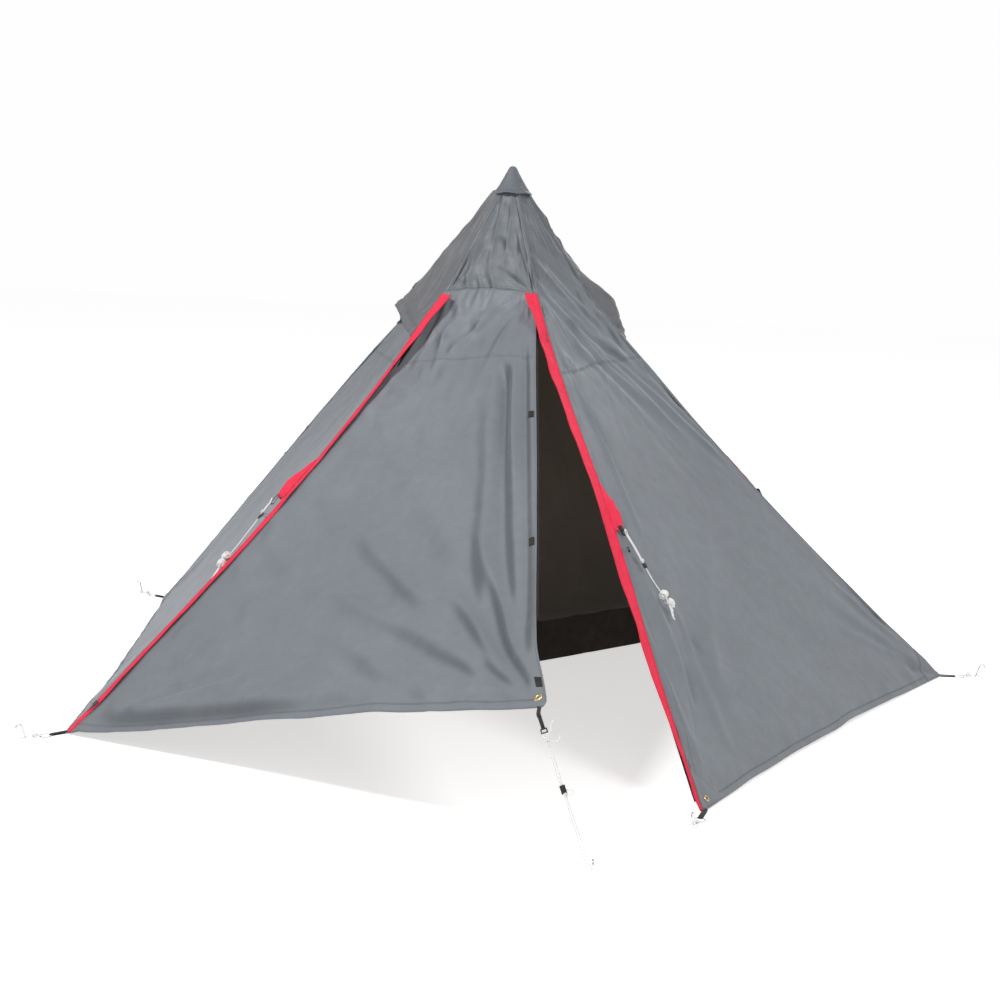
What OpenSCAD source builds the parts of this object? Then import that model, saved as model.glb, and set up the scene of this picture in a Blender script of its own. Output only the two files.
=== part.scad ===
// Five-sided single-pole tepee tent: canopy, swinging door, vents, pole, half inner tent,
// pegs and lines.
// Origin: centre of the pole foot on the ground. +Z up, the door faces -Y. Millimetres.

/* [Canopy] */
// Height of the canopy apex above the ground
apex_h = 1800; // [1700:5:1900]
// Distance from the pole foot to each of the five corners
corner_r = 1675; // [1600:5:1750]
// Height at which the walls turn steeper, level with the top of the door
knee_h = 1363; // [1300:1:1420]
// Distance from the pole axis to each ridge at that height
knee_r = 276; // [262:1:290]
// Height of the level seam that runs round the walls
seam_h = 1116; // [1040:2:1160]
// Thickness of the wall fabric with its coating
fabric_t = 1.2; // [0.8:0.1:1.6]
// Thickness of hem and ridge tape
tape_t = 0.8; // [0.6:0.1:1]

/* [Door] */
// Guyed door corner, distance to the right of the pole axis
guyed_x = 621; // [560:1:660]
// Guyed door corner, distance in front of the pole axis
guyed_y = 1848; // [1800:1:1880]
// Guyed door corner, height above the ground
guyed_z = 380; // [340:1:420]
// Share of the hem that stays with the hinge side of the door
hinge_share = 0.25; // [0.22:0.01:0.4]
// Width of the red storm flap over each zip
flap_w = 48; // [44:1:60]
// Width of one half of a zip, tape included
zip_w = 13; // [11:0.5:13]

/* [Vents] */
// Height of the middle of the hood's lower edge
hood_mid_h = 1300; // [1270:5:1320]
// Distance of the middle of the hood's lower edge from the pole axis
hood_mid_r = 408; // [390:1:430]
// Height at which the hood's lower edge meets the ridges
hood_end_h = 1212; // [1195:1:1230]
// Length of the stick that props a hood open
prop_len = 112; // [100:1:112]

/* [Pole] */
// Outside diameter of the pole tube
pole_d = 25; // [20:1:28]
// Wall of the pole tube
pole_wall = 1.2; // [0.8:0.1:2]
// Height of the top of the pole tube
pole_h = 1738; // [1600:1:1739]
// Diameter of the rubber foot
foot_d = 44; // [40:1:60]

/* [Inner tent] */
// Distance from the pole axis to the inner tent's corners
inner_r = 1500; // [1400:5:1520]
// Height at which the inner tent hangs from the pole
inner_h = 1600; // [1550:5:1620]
// Height of the solid sill round the inner tent
sill_h = 156; // [100:2:200]
// Thickness of the inner tent's net and floor
inner_t = 1; // [0.8:0.1:1.4]
// Gap between the pole axis and the inner tent's front wall
front_gap = 64; // [56:1:80]

/* [Pegs and lines] */
// Length of a ground peg
peg_len = 180; // [150:5:230]
// Diameter of a ground peg
peg_d = 6; // [5:0.5:8]
// Diameter of the guyline cord
cord_d = 3; // [2.4:0.1:4]

/* [Hidden] */

grey = [0.50, 0.52, 0.55];
red = [0.85, 0.28, 0.36];
black = [0.12, 0.11, 0.11];
white = [0.92, 0.92, 0.90];
brown = [0.22, 0.18, 0.15];
net = [0.2, 0.19, 0.18];
brass = [0.86, 0.72, 0.40];
ring_steel = [0.75, 0.75, 0.77];
peg_metal = [0.78, 0.78, 0.80];
alu = [0.70, 0.71, 0.73];

// ---- Vectors, frames and shared shapes
function unit(v) = v / norm(v);
function polar(r, ang, z = 0) = [r * cos(ang), r * sin(ang), z];
function tangent(ang) = [-sin(ang), cos(ang), 0];
function xy(p) = [p[0], p[1]];
function transpose(m) = [for (r = [0:2]) [for (c = [0:2]) m[c][r]]];
// Rigid placement whose X and Y axes and origin are given
function frame(o, x, y) = let (n = cross(x, y))
  [[x[0], y[0], n[0], o[0]], [x[1], y[1], n[1], o[1]], [x[2], y[2], n[2], o[2]], [0, 0, 0, 1]];
function shift(x, y) = frame([x, y, 0], [1, 0, 0], [0, 1, 0]);

// Box centred on Z, standing on height z
module block(size, z = 0) translate([-size[0] / 2, -size[1] / 2, z]) cube(size);
// Round bar centred on the origin, along X
module cross_bar(d, len) translate([-len / 2, 0, 0]) rotate([0, 90, 0])
  cylinder(d = d, h = len, $fn = 32);
module ring(r, d, around = 48, section = 24)
  rotate_extrude($fn = around) translate([r, 0]) circle(d = d, $fn = section);
module grommet(r = 9) difference() {
  cylinder(r = r, h = 1.2, $fn = 48);
  translate([0, 0, -1]) cylinder(r = r * 0.5, h = 4, $fn = 48);
}

// ---- Wall planes
// Corners: 0 front left, 1 front right, 2 right, 3 rear, 4 left. Wall i joins corners i and i + 1.
function corner_ang(i) = 234 + 72 * i;
function wall_ang(i) = 270 + 72 * i;
half_sector = 36;
apothem = cos(half_sector);
function ridge_r(z) = z <= knee_h
  ? corner_r + (knee_r - corner_r) * z / knee_h
  : knee_r * (apex_h - z) / (apex_h - knee_h);
function ridge_pt(i, z) = polar(ridge_r(z), corner_ang(i), z);
// Half the width of a wall at height z
function half_w(z) = ridge_r(z) * sin(half_sector);
hem_half = half_w(0);

// Slope lengths up the middle of a wall, and how far its side edges lean inwards
low_slant = norm([(corner_r - knee_r) * apothem, knee_h]);
up_slant = norm([knee_r * apothem, apex_h - knee_h]);
low_lean = atan((corner_r - knee_r) * sin(half_sector) / low_slant);
up_lean = atan(knee_r * sin(half_sector) / up_slant);

// Wall frames: origin in the middle of the lower edge, X along it, Y up the slope, Z outward
function wall_mid(i, z) = polar(ridge_r(z) * apothem, wall_ang(i), z);
function up_dir(i) = unit([0, 0, apex_h] - wall_mid(i, knee_h));
function low_frame(i) =
  frame(wall_mid(i, 0), tangent(wall_ang(i)), unit(wall_mid(i, knee_h) - wall_mid(i, 0)));
function up_frame(i) = frame(wall_mid(i, knee_h), tangent(wall_ang(i)), up_dir(i));
// Slope distance (v) of height z
function low_v(z) = z / knee_h * low_slant;
function up_v(z) = (z - knee_h) / (apex_h - knee_h) * up_slant;
// Distance from a wall's middle line to a line inset from its ridge, at slope distance v
function edge_x(v, inset) =
  hem_half - (hem_half - half_w(knee_h)) * v / low_slant - inset / cos(low_lean);
// The same at height z, for lower and upper walls
function low_x(z, inset) = edge_x(low_v(z), inset);
function up_x(z, inset) = half_w(z) - inset / cos(up_lean);

// Full-width outlines between two heights; drop carries the lower edge down
function low_band(z0, z1, inset) = [
  [-low_x(z0, inset), low_v(z0)], [low_x(z0, inset), low_v(z0)],
  [low_x(z1, inset), low_v(z1)], [-low_x(z1, inset), low_v(z1)]];
function up_band(z0, z1, inset, drop = 0) = [
  [-up_x(z0, inset), up_v(z0) - drop], [up_x(z0, inset), up_v(z0) - drop],
  [up_x(z1, inset), up_v(z1)], [-up_x(z1, inset), up_v(z1)]];
// Strip along a ridge (side -1 left, 1 right) between two slope distances and two insets
function edge_strip(side, v0, v1, inset0, inset1) = [
  [side * edge_x(v0, inset0), v0], [side * edge_x(v1, inset0), v1],
  [side * edge_x(v1, inset1), v1], [side * edge_x(v0, inset1), v0]];

// Plate in a wall plane whose outer face stands off the wall plane
module plate(pts, t, off) translate([0, 0, off - t]) linear_extrude(t) polygon(pts);
module low_plate(i, pts, t = fabric_t, off = 0) multmatrix(low_frame(i)) plate(pts, t, off);
module up_plate(i, pts, t = fabric_t, off = 0) multmatrix(up_frame(i)) plate(pts, t, off);
module front_plate(pts, t = fabric_t, off = 0) low_plate(0, pts, t, off);

// ---- Walls
ridge_gap = 1.5;    // walls stop this far from the ridge line
seam_gap = 1;       // and this far from the level seam
hem_z = 2.5;
wall_top_z = 1780;
knee_lap = 3;       // upper slope carried below the knee
vent_walls = [4, 2];
vent_z0 = 1400;
vent_z1 = 1560;
vent_inset = 32;

module wall_lower(i) color(grey) low_plate(i, low_band(hem_z, seam_h - seam_gap, ridge_gap));
module wall_upper(i, vent = false) color(grey) {
  low_plate(i, low_band(seam_h + seam_gap, knee_h, ridge_gap));
  difference() {
    up_plate(i, up_band(knee_h, wall_top_z, ridge_gap, knee_lap));
    if (vent) up_plate(i, up_band(vent_z0, vent_z1, vent_inset), 8, 4);
  }
}
module wall_left_lower() wall_lower(4);
module wall_left_upper() wall_upper(4, true);
module wall_rear_left_lower() wall_lower(3);
module wall_rear_left_upper() wall_upper(3);
module wall_rear_right_lower() wall_lower(2);
module wall_rear_right_upper() wall_upper(2, true);
module wall_right_lower() wall_lower(1);
module wall_right_upper() wall_upper(1);
module front_gable() color(grey) up_plate(0, up_band(knee_h + 2, wall_top_z, ridge_gap));
// Insect net set into the two vent openings
module vent_mesh() color(black) for (i = vent_walls)
  up_plate(i, up_band(vent_z0 + 1, vent_z1 - 1, vent_inset + 1), 0.8, -0.2);

// ---- Door placement: the leaf turns about an axis through the top right corner of the door
door_left = ridge_pt(0, 0);
door_right = ridge_pt(1, 0);
door_top = ridge_pt(1, knee_h);
closed_dir = unit(door_right - door_top);
open_dir = unit([guyed_x, -guyed_y, guyed_z] - door_top);
guyed = door_top + norm(door_right - door_top) * open_dir;
function leaf_axes(edge) = let (n = unit(cross(edge, door_left - door_top)))
  [edge, n, cross(edge, n)];
// Rotation that carries the closed leaf to its guyed-out place
swing = transpose(leaf_axes(open_dir)) * leaf_axes(closed_dir);
swing_shift = door_top - swing * door_top;
swing_m = [
  [swing[0][0], swing[0][1], swing[0][2], swing_shift[0]],
  [swing[1][0], swing[1][1], swing[1][2], swing_shift[1]],
  [swing[2][0], swing[2][1], swing[2][2], swing_shift[2]],
  [0, 0, 0, 1]];
module guyed_out() multmatrix(swing_m) children();

// Leaf corners in the front wall plane. flat_left is where the left hem corner falls once the
// guyed-out leaf is laid back in that plane; flat_split parts hinge panel and door panel.
flat_top = [half_w(knee_h), low_slant];
flat_right = [hem_half, 0];
leaf_ang = acos(open_dir * unit(door_left - door_top));
function turn(p, ang) = [p[0] * cos(ang) - p[1] * sin(ang), p[0] * sin(ang) + p[1] * cos(ang)];
flat_left = flat_top
  + norm(door_left - door_top) * turn(unit(flat_right - flat_top), -leaf_ang);
flat_split = flat_left + hinge_share * (flat_right - flat_left);

// ---- Door panels
door_inset = 2 * zip_w + 5.5;    // right ridge to the door fabric
split_gap = 7;                   // split line to the door fabric
door_foot_v = 14;
door_top_v = low_slant - 95;
seam_v = low_v(seam_h);
// x on the split line, and v on the leaf's hem
function split_x(v) = flat_top[0] + split_gap
  + (flat_split[0] - flat_top[0]) * (low_slant - v) / (low_slant - flat_split[1]);
function hem_v(x) = flat_split[1]
  + (flat_right[1] - flat_split[1]) * (x - flat_split[0]) / (flat_right[0] - flat_split[0]);

module door_panel_lower() color(grey) guyed_out() {
  foot_x = flat_split[0] + 8;
  top_v = seam_v - seam_gap;
  front_plate([[foot_x, hem_v(foot_x) + 4], [edge_x(door_foot_v, door_inset), door_foot_v],
    [edge_x(top_v, door_inset), top_v], [split_x(top_v), top_v]]);
}
module door_panel_upper() color(grey) guyed_out() {
  foot_v = seam_v + seam_gap;
  front_plate([[split_x(foot_v), foot_v], [edge_x(foot_v, door_inset), foot_v],
    [edge_x(door_top_v, door_inset), door_top_v], [split_x(door_top_v), door_top_v]]);
}
// Hinge side of the door: flat in the wall plane up to the diagonal, then out with the leaf
module door_hinge_panel() color(grey) {
  inset = 2 * zip_w + 5;
  front_plate([[-edge_x(0, inset) + 9, 22], [-hem_half + inset * 1.9, 14],
    [flat_top[0] - inset * 1.3, low_slant - 34],
    [-edge_x(low_slant - 4, inset), low_slant - 4]]);
  guyed_out() {
    diagonal = unit(flat_top - flat_left);
    off_fold = 3 * [-diagonal[1], diagonal[0]];
    hem_lift = [0, 4];
    top_cut = 0.06;    // share of each edge cut off at the top corner
    front_plate([
      flat_left + diagonal * 380 + off_fold,
      flat_left + (flat_right - flat_left) * 0.055 + hem_lift,
      flat_split + hem_lift - (flat_split - flat_top) * 0.002,
      flat_top + (flat_split - flat_top) * top_cut,
      flat_top + (flat_left - flat_top) * top_cut + off_fold]);
  }
}

// ---- Zips and storm flaps
zip_t = 1;
zip_v0 = 14;
zip_v1 = low_slant - 8;
module door_zip_tape() color(black) guyed_out()
  front_plate(edge_strip(1, 20, low_slant - 60, zip_w + 4, 2 * zip_w + 4), zip_t);
// Zip tapes sewn to the ridges; the closed left zip shows both halves
module zip_tape_right() color(black)
  front_plate(edge_strip(1, zip_v0, zip_v1, 2, zip_w + 2), zip_t);
module zip_tape_left() color(black)
  front_plate(edge_strip(-1, zip_v0, zip_v1, 2, 2 * zip_w + 3), zip_t);
module storm_flap_left() color(red)
  front_plate(edge_strip(-1, 8, low_slant - 2, 1, flap_w), fabric_t, 6.5);

// The right flap stands up off the zip so that the door can pass under it.
// Flap frame: X across the flap, Y up the ridge
ridge_len = norm(ridge_pt(0, knee_h) - ridge_pt(0, 0));
ridge_dir = unit(flat_top - flat_right);
flap_tilt = 56;
flap_frame = low_frame(0) * frame([hem_half - 2.4, 0, 1.6],
  [-ridge_dir[1] * cos(flap_tilt), ridge_dir[0] * cos(flap_tilt), sin(flap_tilt)],
  [ridge_dir[0], ridge_dir[1], 0]);
module storm_flap_right() color(red) multmatrix(flap_frame)
  translate([0, 10, -fabric_t / 2]) cube([flap_w, ridge_len - 16, fabric_t]);

// Hook-and-loop tabs: three on the door edge, three under the right flap
tab_v = [112, 546, 1025];
tab_len = 28;
tab_t = 1;
module door_fastener_tabs() color(black) guyed_out() for (v = tab_v)
  front_plate(edge_strip(1, v - tab_len / 2, v + tab_len / 2, door_inset + 2, door_inset + 15),
    tab_t, 1.3);
module flap_fastener_tabs() color(black) for (v = tab_v)
  multmatrix(flap_frame)
    translate([flap_w - 17, v / cos(low_lean) - tab_len / 2, -fabric_t / 2 - 1.2])
      cube([14, tab_len, tab_t]);

// Zip sliders ride on the zips, parallel to the ridges: body and pull
module zip_slider(side, v) color(black) multmatrix(low_frame(0))
  translate([side * edge_x(v, 14), v, 0.4]) rotate([0, 0, side * low_lean]) {
    block([10, 18, 3]);
    translate([0, -23, 0]) block([6, 30, 1.4], 0.6);
  }
module zip_slider_left() zip_slider(-1, 110);
module zip_slider_right() zip_slider(1, low_slant - 160);

// ---- Guyed door corner. Frame: Z down the guyline, X along the loop bar
guy_peg = [785, -1900, 0];
line_dir = unit(guy_peg - guyed);
loop_facing = [0.18, -0.84, 0.51];    // the bar lies square to this and to the line
bar_dir = unit(cross(line_dir, loop_facing));
line_frame = frame(guyed + line_dir * 6, bar_dir, cross(line_dir, bar_dir));
bar_z = 26;
line_len = norm(guy_peg - guyed) - 74;
eye_r = 1.6 + cord_d / 2;

module door_corner_loop() color(black) multmatrix(line_frame) {
  block([18, 1.6, 18]);
  for (side = [-1, 1]) translate([side * 8, 0, 0]) block([2, 5, 13], 17);
  translate([0, 0, bar_z]) cross_bar(3, 18);
}
module door_guyline() color(white) multmatrix(line_frame) translate([0, 0, bar_z]) {
  rotate([0, 90, 0]) ring(eye_r, cord_d);
  translate([0, 0, eye_r]) cylinder(d = cord_d, h = line_len, $fn = 24);
}
module guyline_runner() color(black) multmatrix(line_frame) translate([0, 0, 196]) difference() {
  block([14, 7, 22], -11);
  translate([0, 0, -12]) cylinder(d = cord_d + 0.1, h = 24, $fn = 32);
}
module door_grommet() color(brass) guyed_out() multmatrix(low_frame(0))
  translate([edge_x(44, door_inset + 26), 44, 0.2]) grommet();

// ---- Apex
// Profile of the cap: radius, height
cap_profile = [
  [64.5, 1702], [66.5, 1702], [20.5, 1792], [17, 1799.5], [9, 1803],
  [0, 1803.5], [0, 1801.5], [8.6, 1801], [15.6, 1798], [19, 1790]];
module top_cap() color(grey) rotate_extrude($fn = 72) polygon(cap_profile);

pocket_z0 = 1690;
pocket_z1 = 1764;
pocket_t = 1.5;
// Outer radius of the pocket: it widens by 0.511 per mm below the apex
function pocket_r(z) = (apex_h - z) * 0.511 - 4;
module apex_pocket() color(black) rotate_extrude($fn = 64) polygon([
  [pocket_r(pocket_z0), pocket_z0], [pocket_r(pocket_z1), pocket_z1],
  [0, pocket_z1], [0, pocket_z1 - pocket_t],
  [pocket_r(pocket_z1) - pocket_t, pocket_z1 - pocket_t],
  [pocket_r(pocket_z0) - pocket_t, pocket_z0]]);

// ---- Tapes
ridge_tape_w = 24;
ridge_tape_in = 12;    // depth of the tape inside the ridge line
// Tape up ridge i from start towards end; y0 is its distance from start
module ridge_tape(i, start, end, y0, len)
  multmatrix(frame(start, tangent(corner_ang(i)), unit(end - start)))
    translate([-ridge_tape_w / 2, y0, -ridge_tape_in]) cube([ridge_tape_w, len, tape_t]);
module ridge_tapes() color(black) for (i = [0:4]) {
  knee = ridge_pt(i, knee_h);
  ridge_tape(i, ridge_pt(i, 0), knee, 30, ridge_len - 26);
  ridge_tape(i, knee, [0, 0, apex_h], -5, norm([knee_r, apex_h - knee_h]) * 0.74);
}
module hem_tapes() color(grey) for (i = [1:4])
  low_plate(i, [[-hem_half + 34, 7], [hem_half - 34, 7], [hem_half - 46, 31],
    [-hem_half + 46, 31]], tape_t, -fabric_t - 0.3);

// ---- Vent hoods: one over the left wall, one over the rear right wall
// Point off ridge i: outward and up by lift, sideways by side
function off_ridge(i, z, lift, side) = ridge_pt(i, z)
  + lift * unit(polar(1, corner_ang(i), 0.9)) + side * tangent(corner_ang(i));
// Sheet of cloth folded along its middle and along both sides, its thickness on the inner side
module hood(i) color(grey) {
  outer = [
    polar(64, wall_ang(i), 1725),
    off_ridge(i + 1, 1690, 6, -4),
    off_ridge(i + 1, hood_end_h, 5, -6),
    polar(hood_mid_r, wall_ang(i), hood_mid_h),
    off_ridge(i, hood_end_h, 5, 6),
    off_ridge(i, 1690, 6, 4)];
  inward = -1.1 * fabric_t * cross(tangent(wall_ang(i)), up_dir(i));
  // Outer faces, inner faces, then the rim
  polyhedron(concat(outer, [for (p = outer) p + inward]), concat(
    [[0, 3, 4], [0, 2, 3], [0, 4, 5], [0, 1, 2]],
    [[6, 10, 9], [6, 9, 8], [6, 11, 10], [6, 8, 7]],
    [for (k = [0:5]) [(k + 1) % 6, k, k + 6, (k + 1) % 6 + 6]]));
}
module vent_hood_left() hood(4);
module vent_hood_right() hood(2);

// Stick that props each hood open, pivoting on the wall below the net
prop_z = 1300;
prop_tilt = 8;
pivot_off = 7;    // pivot pin above the wall plane
pin_d = 3;
module at_prop(i) multmatrix(low_frame(i) * shift(0, low_v(prop_z))) children();
module vent_prop_mounts() color(black) for (i = vent_walls) at_prop(i) {
  block([28, 16, 1.5], 0.3);
  for (side = [-1, 1]) translate([side * 8, 0, 0]) block([3, 8, 9], 1.5);
  translate([0, 0, pivot_off]) cross_bar(pin_d, 20);
}
module vent_prop(i) color(black) at_prop(i)
  translate([0, 0, pivot_off]) rotate([-prop_tilt, 0, 0]) {
    difference() {
      union() {
        cross_bar(7, 10);
        block([10, 2, prop_len - 30], 1);
      }
      cross_bar(pin_d + 0.1, 12);
    }
    block([24, 3, 8], prop_len - 32);
  }
module vent_prop_left() vent_prop(4);
module vent_prop_right() vent_prop(2);

// ---- Corners
// Triangles at the hem corners of every wall, but not on the left wall's front end
module corner_patches() color(grey) for (i = [1:4], side = [-1, 1])
  if (side < 0 || i < 4)
    low_plate(i, [[side * (hem_half - 8), 4], [side * (hem_half - 130), 4],
      [side * edge_x(96, 2.5), 96]], 0.8, 1.1);
module corner_grommets() color(brass) for (i = [0:4])
  multmatrix(low_frame(i == 0 ? 4 : i))
    translate([(i == 0 ? 1 : -1) * (hem_half - 52), 22, 1.5]) grommet();

// Places children at a distance outward from a corner.
// The pull at the front right peg is turned towards the front
pull_turn = [0, -40, 0, 0, 0];
module at_corner(i, dist) translate(ridge_pt(i, 0)) rotate([0, 0, corner_ang(i) + pull_turn[i]])
  translate([dist, 0, 0]) children();
module corner_loops() color(black) for (i = [0:4]) at_corner(i, 8) difference() {
  translate([0, -10, 0]) cube([44, 20, 6.4]);
  translate([-1, -11, 1.4]) cube([43.4, 22, 3.6]);
}
module corner_rings() color(ring_steel) for (i = [0:4])
  at_corner(i, 62) translate([0, 0, 3.2]) ring(18, 3.2, around = 64);
// Short cord that ends in a ring round the peg
module corner_cords() color(white) for (i = [0:4]) at_corner(i, 92) translate([0, 0, 5]) {
  rotate([0, 90, 0]) translate([0, 0, -6]) cylinder(d = cord_d, h = 26, $fn = 20);
  translate([32, 0, 0]) ring(13, cord_d, section = 20);
}

// Peg leaning outward at the top: shaft, point and half-round hook
peg_lean = 18;
peg_top = 38;
point_len = 22;
hook_r = 9;
module peg() rotate([0, peg_lean, 0]) translate([0, 0, 8]) {
  translate([0, 0, -peg_len + 42]) cylinder(d = peg_d, h = peg_len - 4, $fn = 24);
  translate([0, 0, -peg_len + 20]) cylinder(d1 = 1, d2 = peg_d, h = point_len, $fn = 24);
  translate([0, 0, peg_top]) rotate([90, 0, 0]) translate([hook_r, 0, 0])
    rotate_extrude(angle = 180, $fn = 40) translate([hook_r, 0]) circle(d = peg_d, $fn = 24);
}
module ground_pegs() color(peg_metal) {
  for (i = [0:4]) at_corner(i, 124) peg();
  translate(guy_peg) rotate([0, 0, -72]) translate([22, 0, 0]) peg();
}

// ---- Ridge guyline points, for corners 0 to 4: wall used, side of it (-1 left, 1 right)
guy_points = [[4, 1], [1, -1], [2, -1], [3, -1], [3, 1]];
guy_z0 = 668;
guy_z1 = 800;
// Patch outline: height, inset from the ridge
guy_patch = [[guy_z1, 2.5], [guy_z0 + 30, 2.5], [guy_z0, 12], [guy_z0, 26], [guy_z0 + 40, 32]];
module guy_patches() color(red) for (g = guy_points)
  low_plate(g[0], [for (p = guy_patch) [g[1] * low_x(p[0], p[1]), low_v(p[0])]], 1.4, 1.8);

loop_z = guy_z0 - 12;
module at_guy_loop(g)
  multmatrix(low_frame(g[0]) * shift(g[1] * low_x(loop_z, 18), low_v(loop_z))) children();
// Base patch and the stud that holds the line
module guy_loops() color(black) for (g = guy_points) at_guy_loop(g) {
  translate([0, -2, 0]) block([16, 16, 1.4], 0.3);
  translate([0, 0, 1]) cylinder(d = 3, h = 9, $fn = 32);
}
// Stowed guyline: eye on the loop stud, cord, tensioner and a tied hank
stow_len = 290;
hank_y = -stow_len * 0.78;
module stowed_line(g, ang) color(white)
  at_guy_loop(g) translate([0, 0, 5.5]) rotate([0, 0, ang]) {
    ring(eye_r, cord_d);
    translate([0, -eye_r, 0]) rotate([90, 0, 0]) cylinder(d = cord_d, h = stow_len, $fn = 24);
    translate([-8, -stow_len * 0.4, -2.5]) cube([16, 14, 6]);
    translate([0, hank_y, 5]) rotate([90, 0, 0]) cylinder(r = 9, h = 62, center = true, $fn = 32);
    translate([0, hank_y, 6]) rotate([90, 0, 0]) ring(7, 8, around = 32, section = 20);
  }
module ridge_guyline_left() stowed_line(guy_points[0], -30);
module ridge_guyline_right() stowed_line(guy_points[1], 2);

toggle_z = 600;
module door_toggles() color(black) for (g = [guy_points[0], guy_points[1]])
  multmatrix(low_frame(g[0])) translate([g[1] * low_x(toggle_z, 10), low_v(toggle_z), 5])
    rotate([0, 0, g[1] * 27]) {
      rotate([90, 0, 0]) cylinder(d = 6, h = 26, center = true, $fn = 24);
      block([3, 6, 4], -4);
    }

// ---- Pole
seat_h = 16;    // height of the tube's lower end, inside the foot
section_len = (pole_h - seat_h) / 4;
bore = pole_d - 2 * pole_wall;
ferrule_len = 90;
sleeve_r = pole_d / 2 + 0.1;    // inside radius of the foot and the tip
function joint_z(k) = seat_h + k * section_len;
module tube(outer_d, inner_d, z, len) translate([0, 0, z]) difference() {
  cylinder(d = outer_d, h = len, $fn = 48);
  translate([0, 0, -1]) cylinder(d = inner_d, h = len + 2, $fn = 48);
}
module pole_section(k) color(alu) tube(pole_d, bore, joint_z(k), section_len - 0.3);
module pole_section_bottom() pole_section(0);
module pole_sections_middle() for (k = [1, 2]) pole_section(k);
module pole_section_top() pole_section(3);
module pole_ferrules() color(alu) for (k = [1:3])
  tube(bore - 0.16, bore - 2.6, joint_z(k) - ferrule_len / 2, ferrule_len);
module pole_foot() color(black) rotate_extrude($fn = 64) {
  collar_r = pole_d / 2 + 3.5;
  polygon([[0, 0], [foot_d / 2, 0], [foot_d / 2, 5], [collar_r, 12], [collar_r, 46],
    [sleeve_r, 46], [sleeve_r, seat_h - 0.2], [0, seat_h - 0.2]]);
}
module pole_tip() color(black) rotate_extrude($fn = 48) {
  tip_r = pole_d / 2 + 1.8;
  polygon([[0, pole_h + 0.1], [sleeve_r, pole_h + 0.1], [sleeve_r, pole_h - 24],
    [tip_r, pole_h - 24], [tip_r, pole_h + 4], [8, pole_h + 12], [0, pole_h + 14]]);
}
module pole_shock_cord() color(black) translate([0, 0, seat_h + 2])
  cylinder(d = 4, h = pole_h - seat_h - 6, $fn = 24);

// ---- Half inner tent on the left and rear: its base points on the ground
fold = polar(front_gap, -36);
base_front = polar(inner_r, corner_ang(0));
base_left = polar(inner_r, corner_ang(4));
base_rear = polar(inner_r, corner_ang(3));
base_right = polar(inner_r * apothem, wall_ang(2));    // middle of the rear right side
inner_sides = [[base_left, base_front], [base_rear, base_left], [base_right, base_rear]];
inner_top = inner_h - 62;
sill_z0 = 4;
sill_gap = 1;    // sill and net each stop this far from the sill height

module inner_floor() color(brown) translate([0, 0, 1.5]) linear_extrude(inner_t) difference() {
  polygon([xy(base_front) * 0.985, xy(fold) * 0.93, xy(base_right) * 0.985,
    xy(base_rear) * 0.99, xy(base_left) * 0.99]);
  circle(d = foot_d + 8, $fn = 48);
}
// Sloping wall over base points p and q, between two heights
module inner_wall(p, q, z0, z1, inset) {
  top = [0, 0, inner_h];
  along = unit(q - p);
  start = (p - top) * along;
  end = (q - top) * along;
  foot = p - along * start;    // point of the base line below the top
  slant = norm(top - foot);
  low = 1 - z0 / inner_h;      // share of full width left at z0 and z1
  high = 1 - z1 / inner_h;
  multmatrix(frame(foot, along, unit(top - foot))) translate([0, 0, -inner_t])
    linear_extrude(inner_t) polygon([
      [start * low + inset, slant * (1 - low)], [end * low - inset, slant * (1 - low)],
      [end * high - inset, slant * (1 - high)], [start * high + inset, slant * (1 - high)]]);
}
module inner_sill() color(brown) for (s = inner_sides)
  inner_wall(s[0], s[1], sill_z0, sill_h - sill_gap, 5);
module inner_mesh_walls() color(net) for (s = inner_sides)
  inner_wall(s[0], s[1], sill_h + sill_gap, inner_top, 6);

// Upright front wall in two leaves that meet at the fold beside the pole
module upright(p) multmatrix(frame(fold, unit(p - fold), [0, 0, 1]))
  translate([0, 0, -inner_t / 2]) linear_extrude(inner_t) children();
// Outline of the leaf that ends at p, between two heights
module front_leaf(p, z0, z1) {
  len = norm(p - fold);
  function end_x(z) = len * (1 - z / inner_h) - 6;
  polygon([[4, z0], [end_x(z0), z0], [end_x(z1), z1], [4, z1]]);
}
module inner_front_sill() color(brown) for (p = [base_front, base_right])
  upright(p) front_leaf(p, sill_z0, sill_h - sill_gap);

net_door_x0 = 250;
net_door_x1 = 860;
net_door_top = 1010;
// Door outline drawn in by inset
function net_door(inset) = let (left = net_door_x0 + inset, right = net_door_x1 - inset,
    bottom = sill_h + 6 + inset, top = net_door_top - inset)
  [[left, bottom], [right, bottom], [right, 500 - inset], [net_door_x0 + 200 - inset, top],
    [left, top]];
module inner_front_mesh() color(net) {
  z0 = sill_h + sill_gap;
  z1 = inner_top - 20;
  upright(base_front) difference() {
    front_leaf(base_front, z0, z1);
    polygon(net_door(0));
  }
  upright(base_right) front_leaf(base_right, z0, z1);
}
// Net door of the inner tent, hung on its upright edge beside the pole
module inner_door() color(net) upright(base_front) polygon(net_door(2.5));

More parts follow.
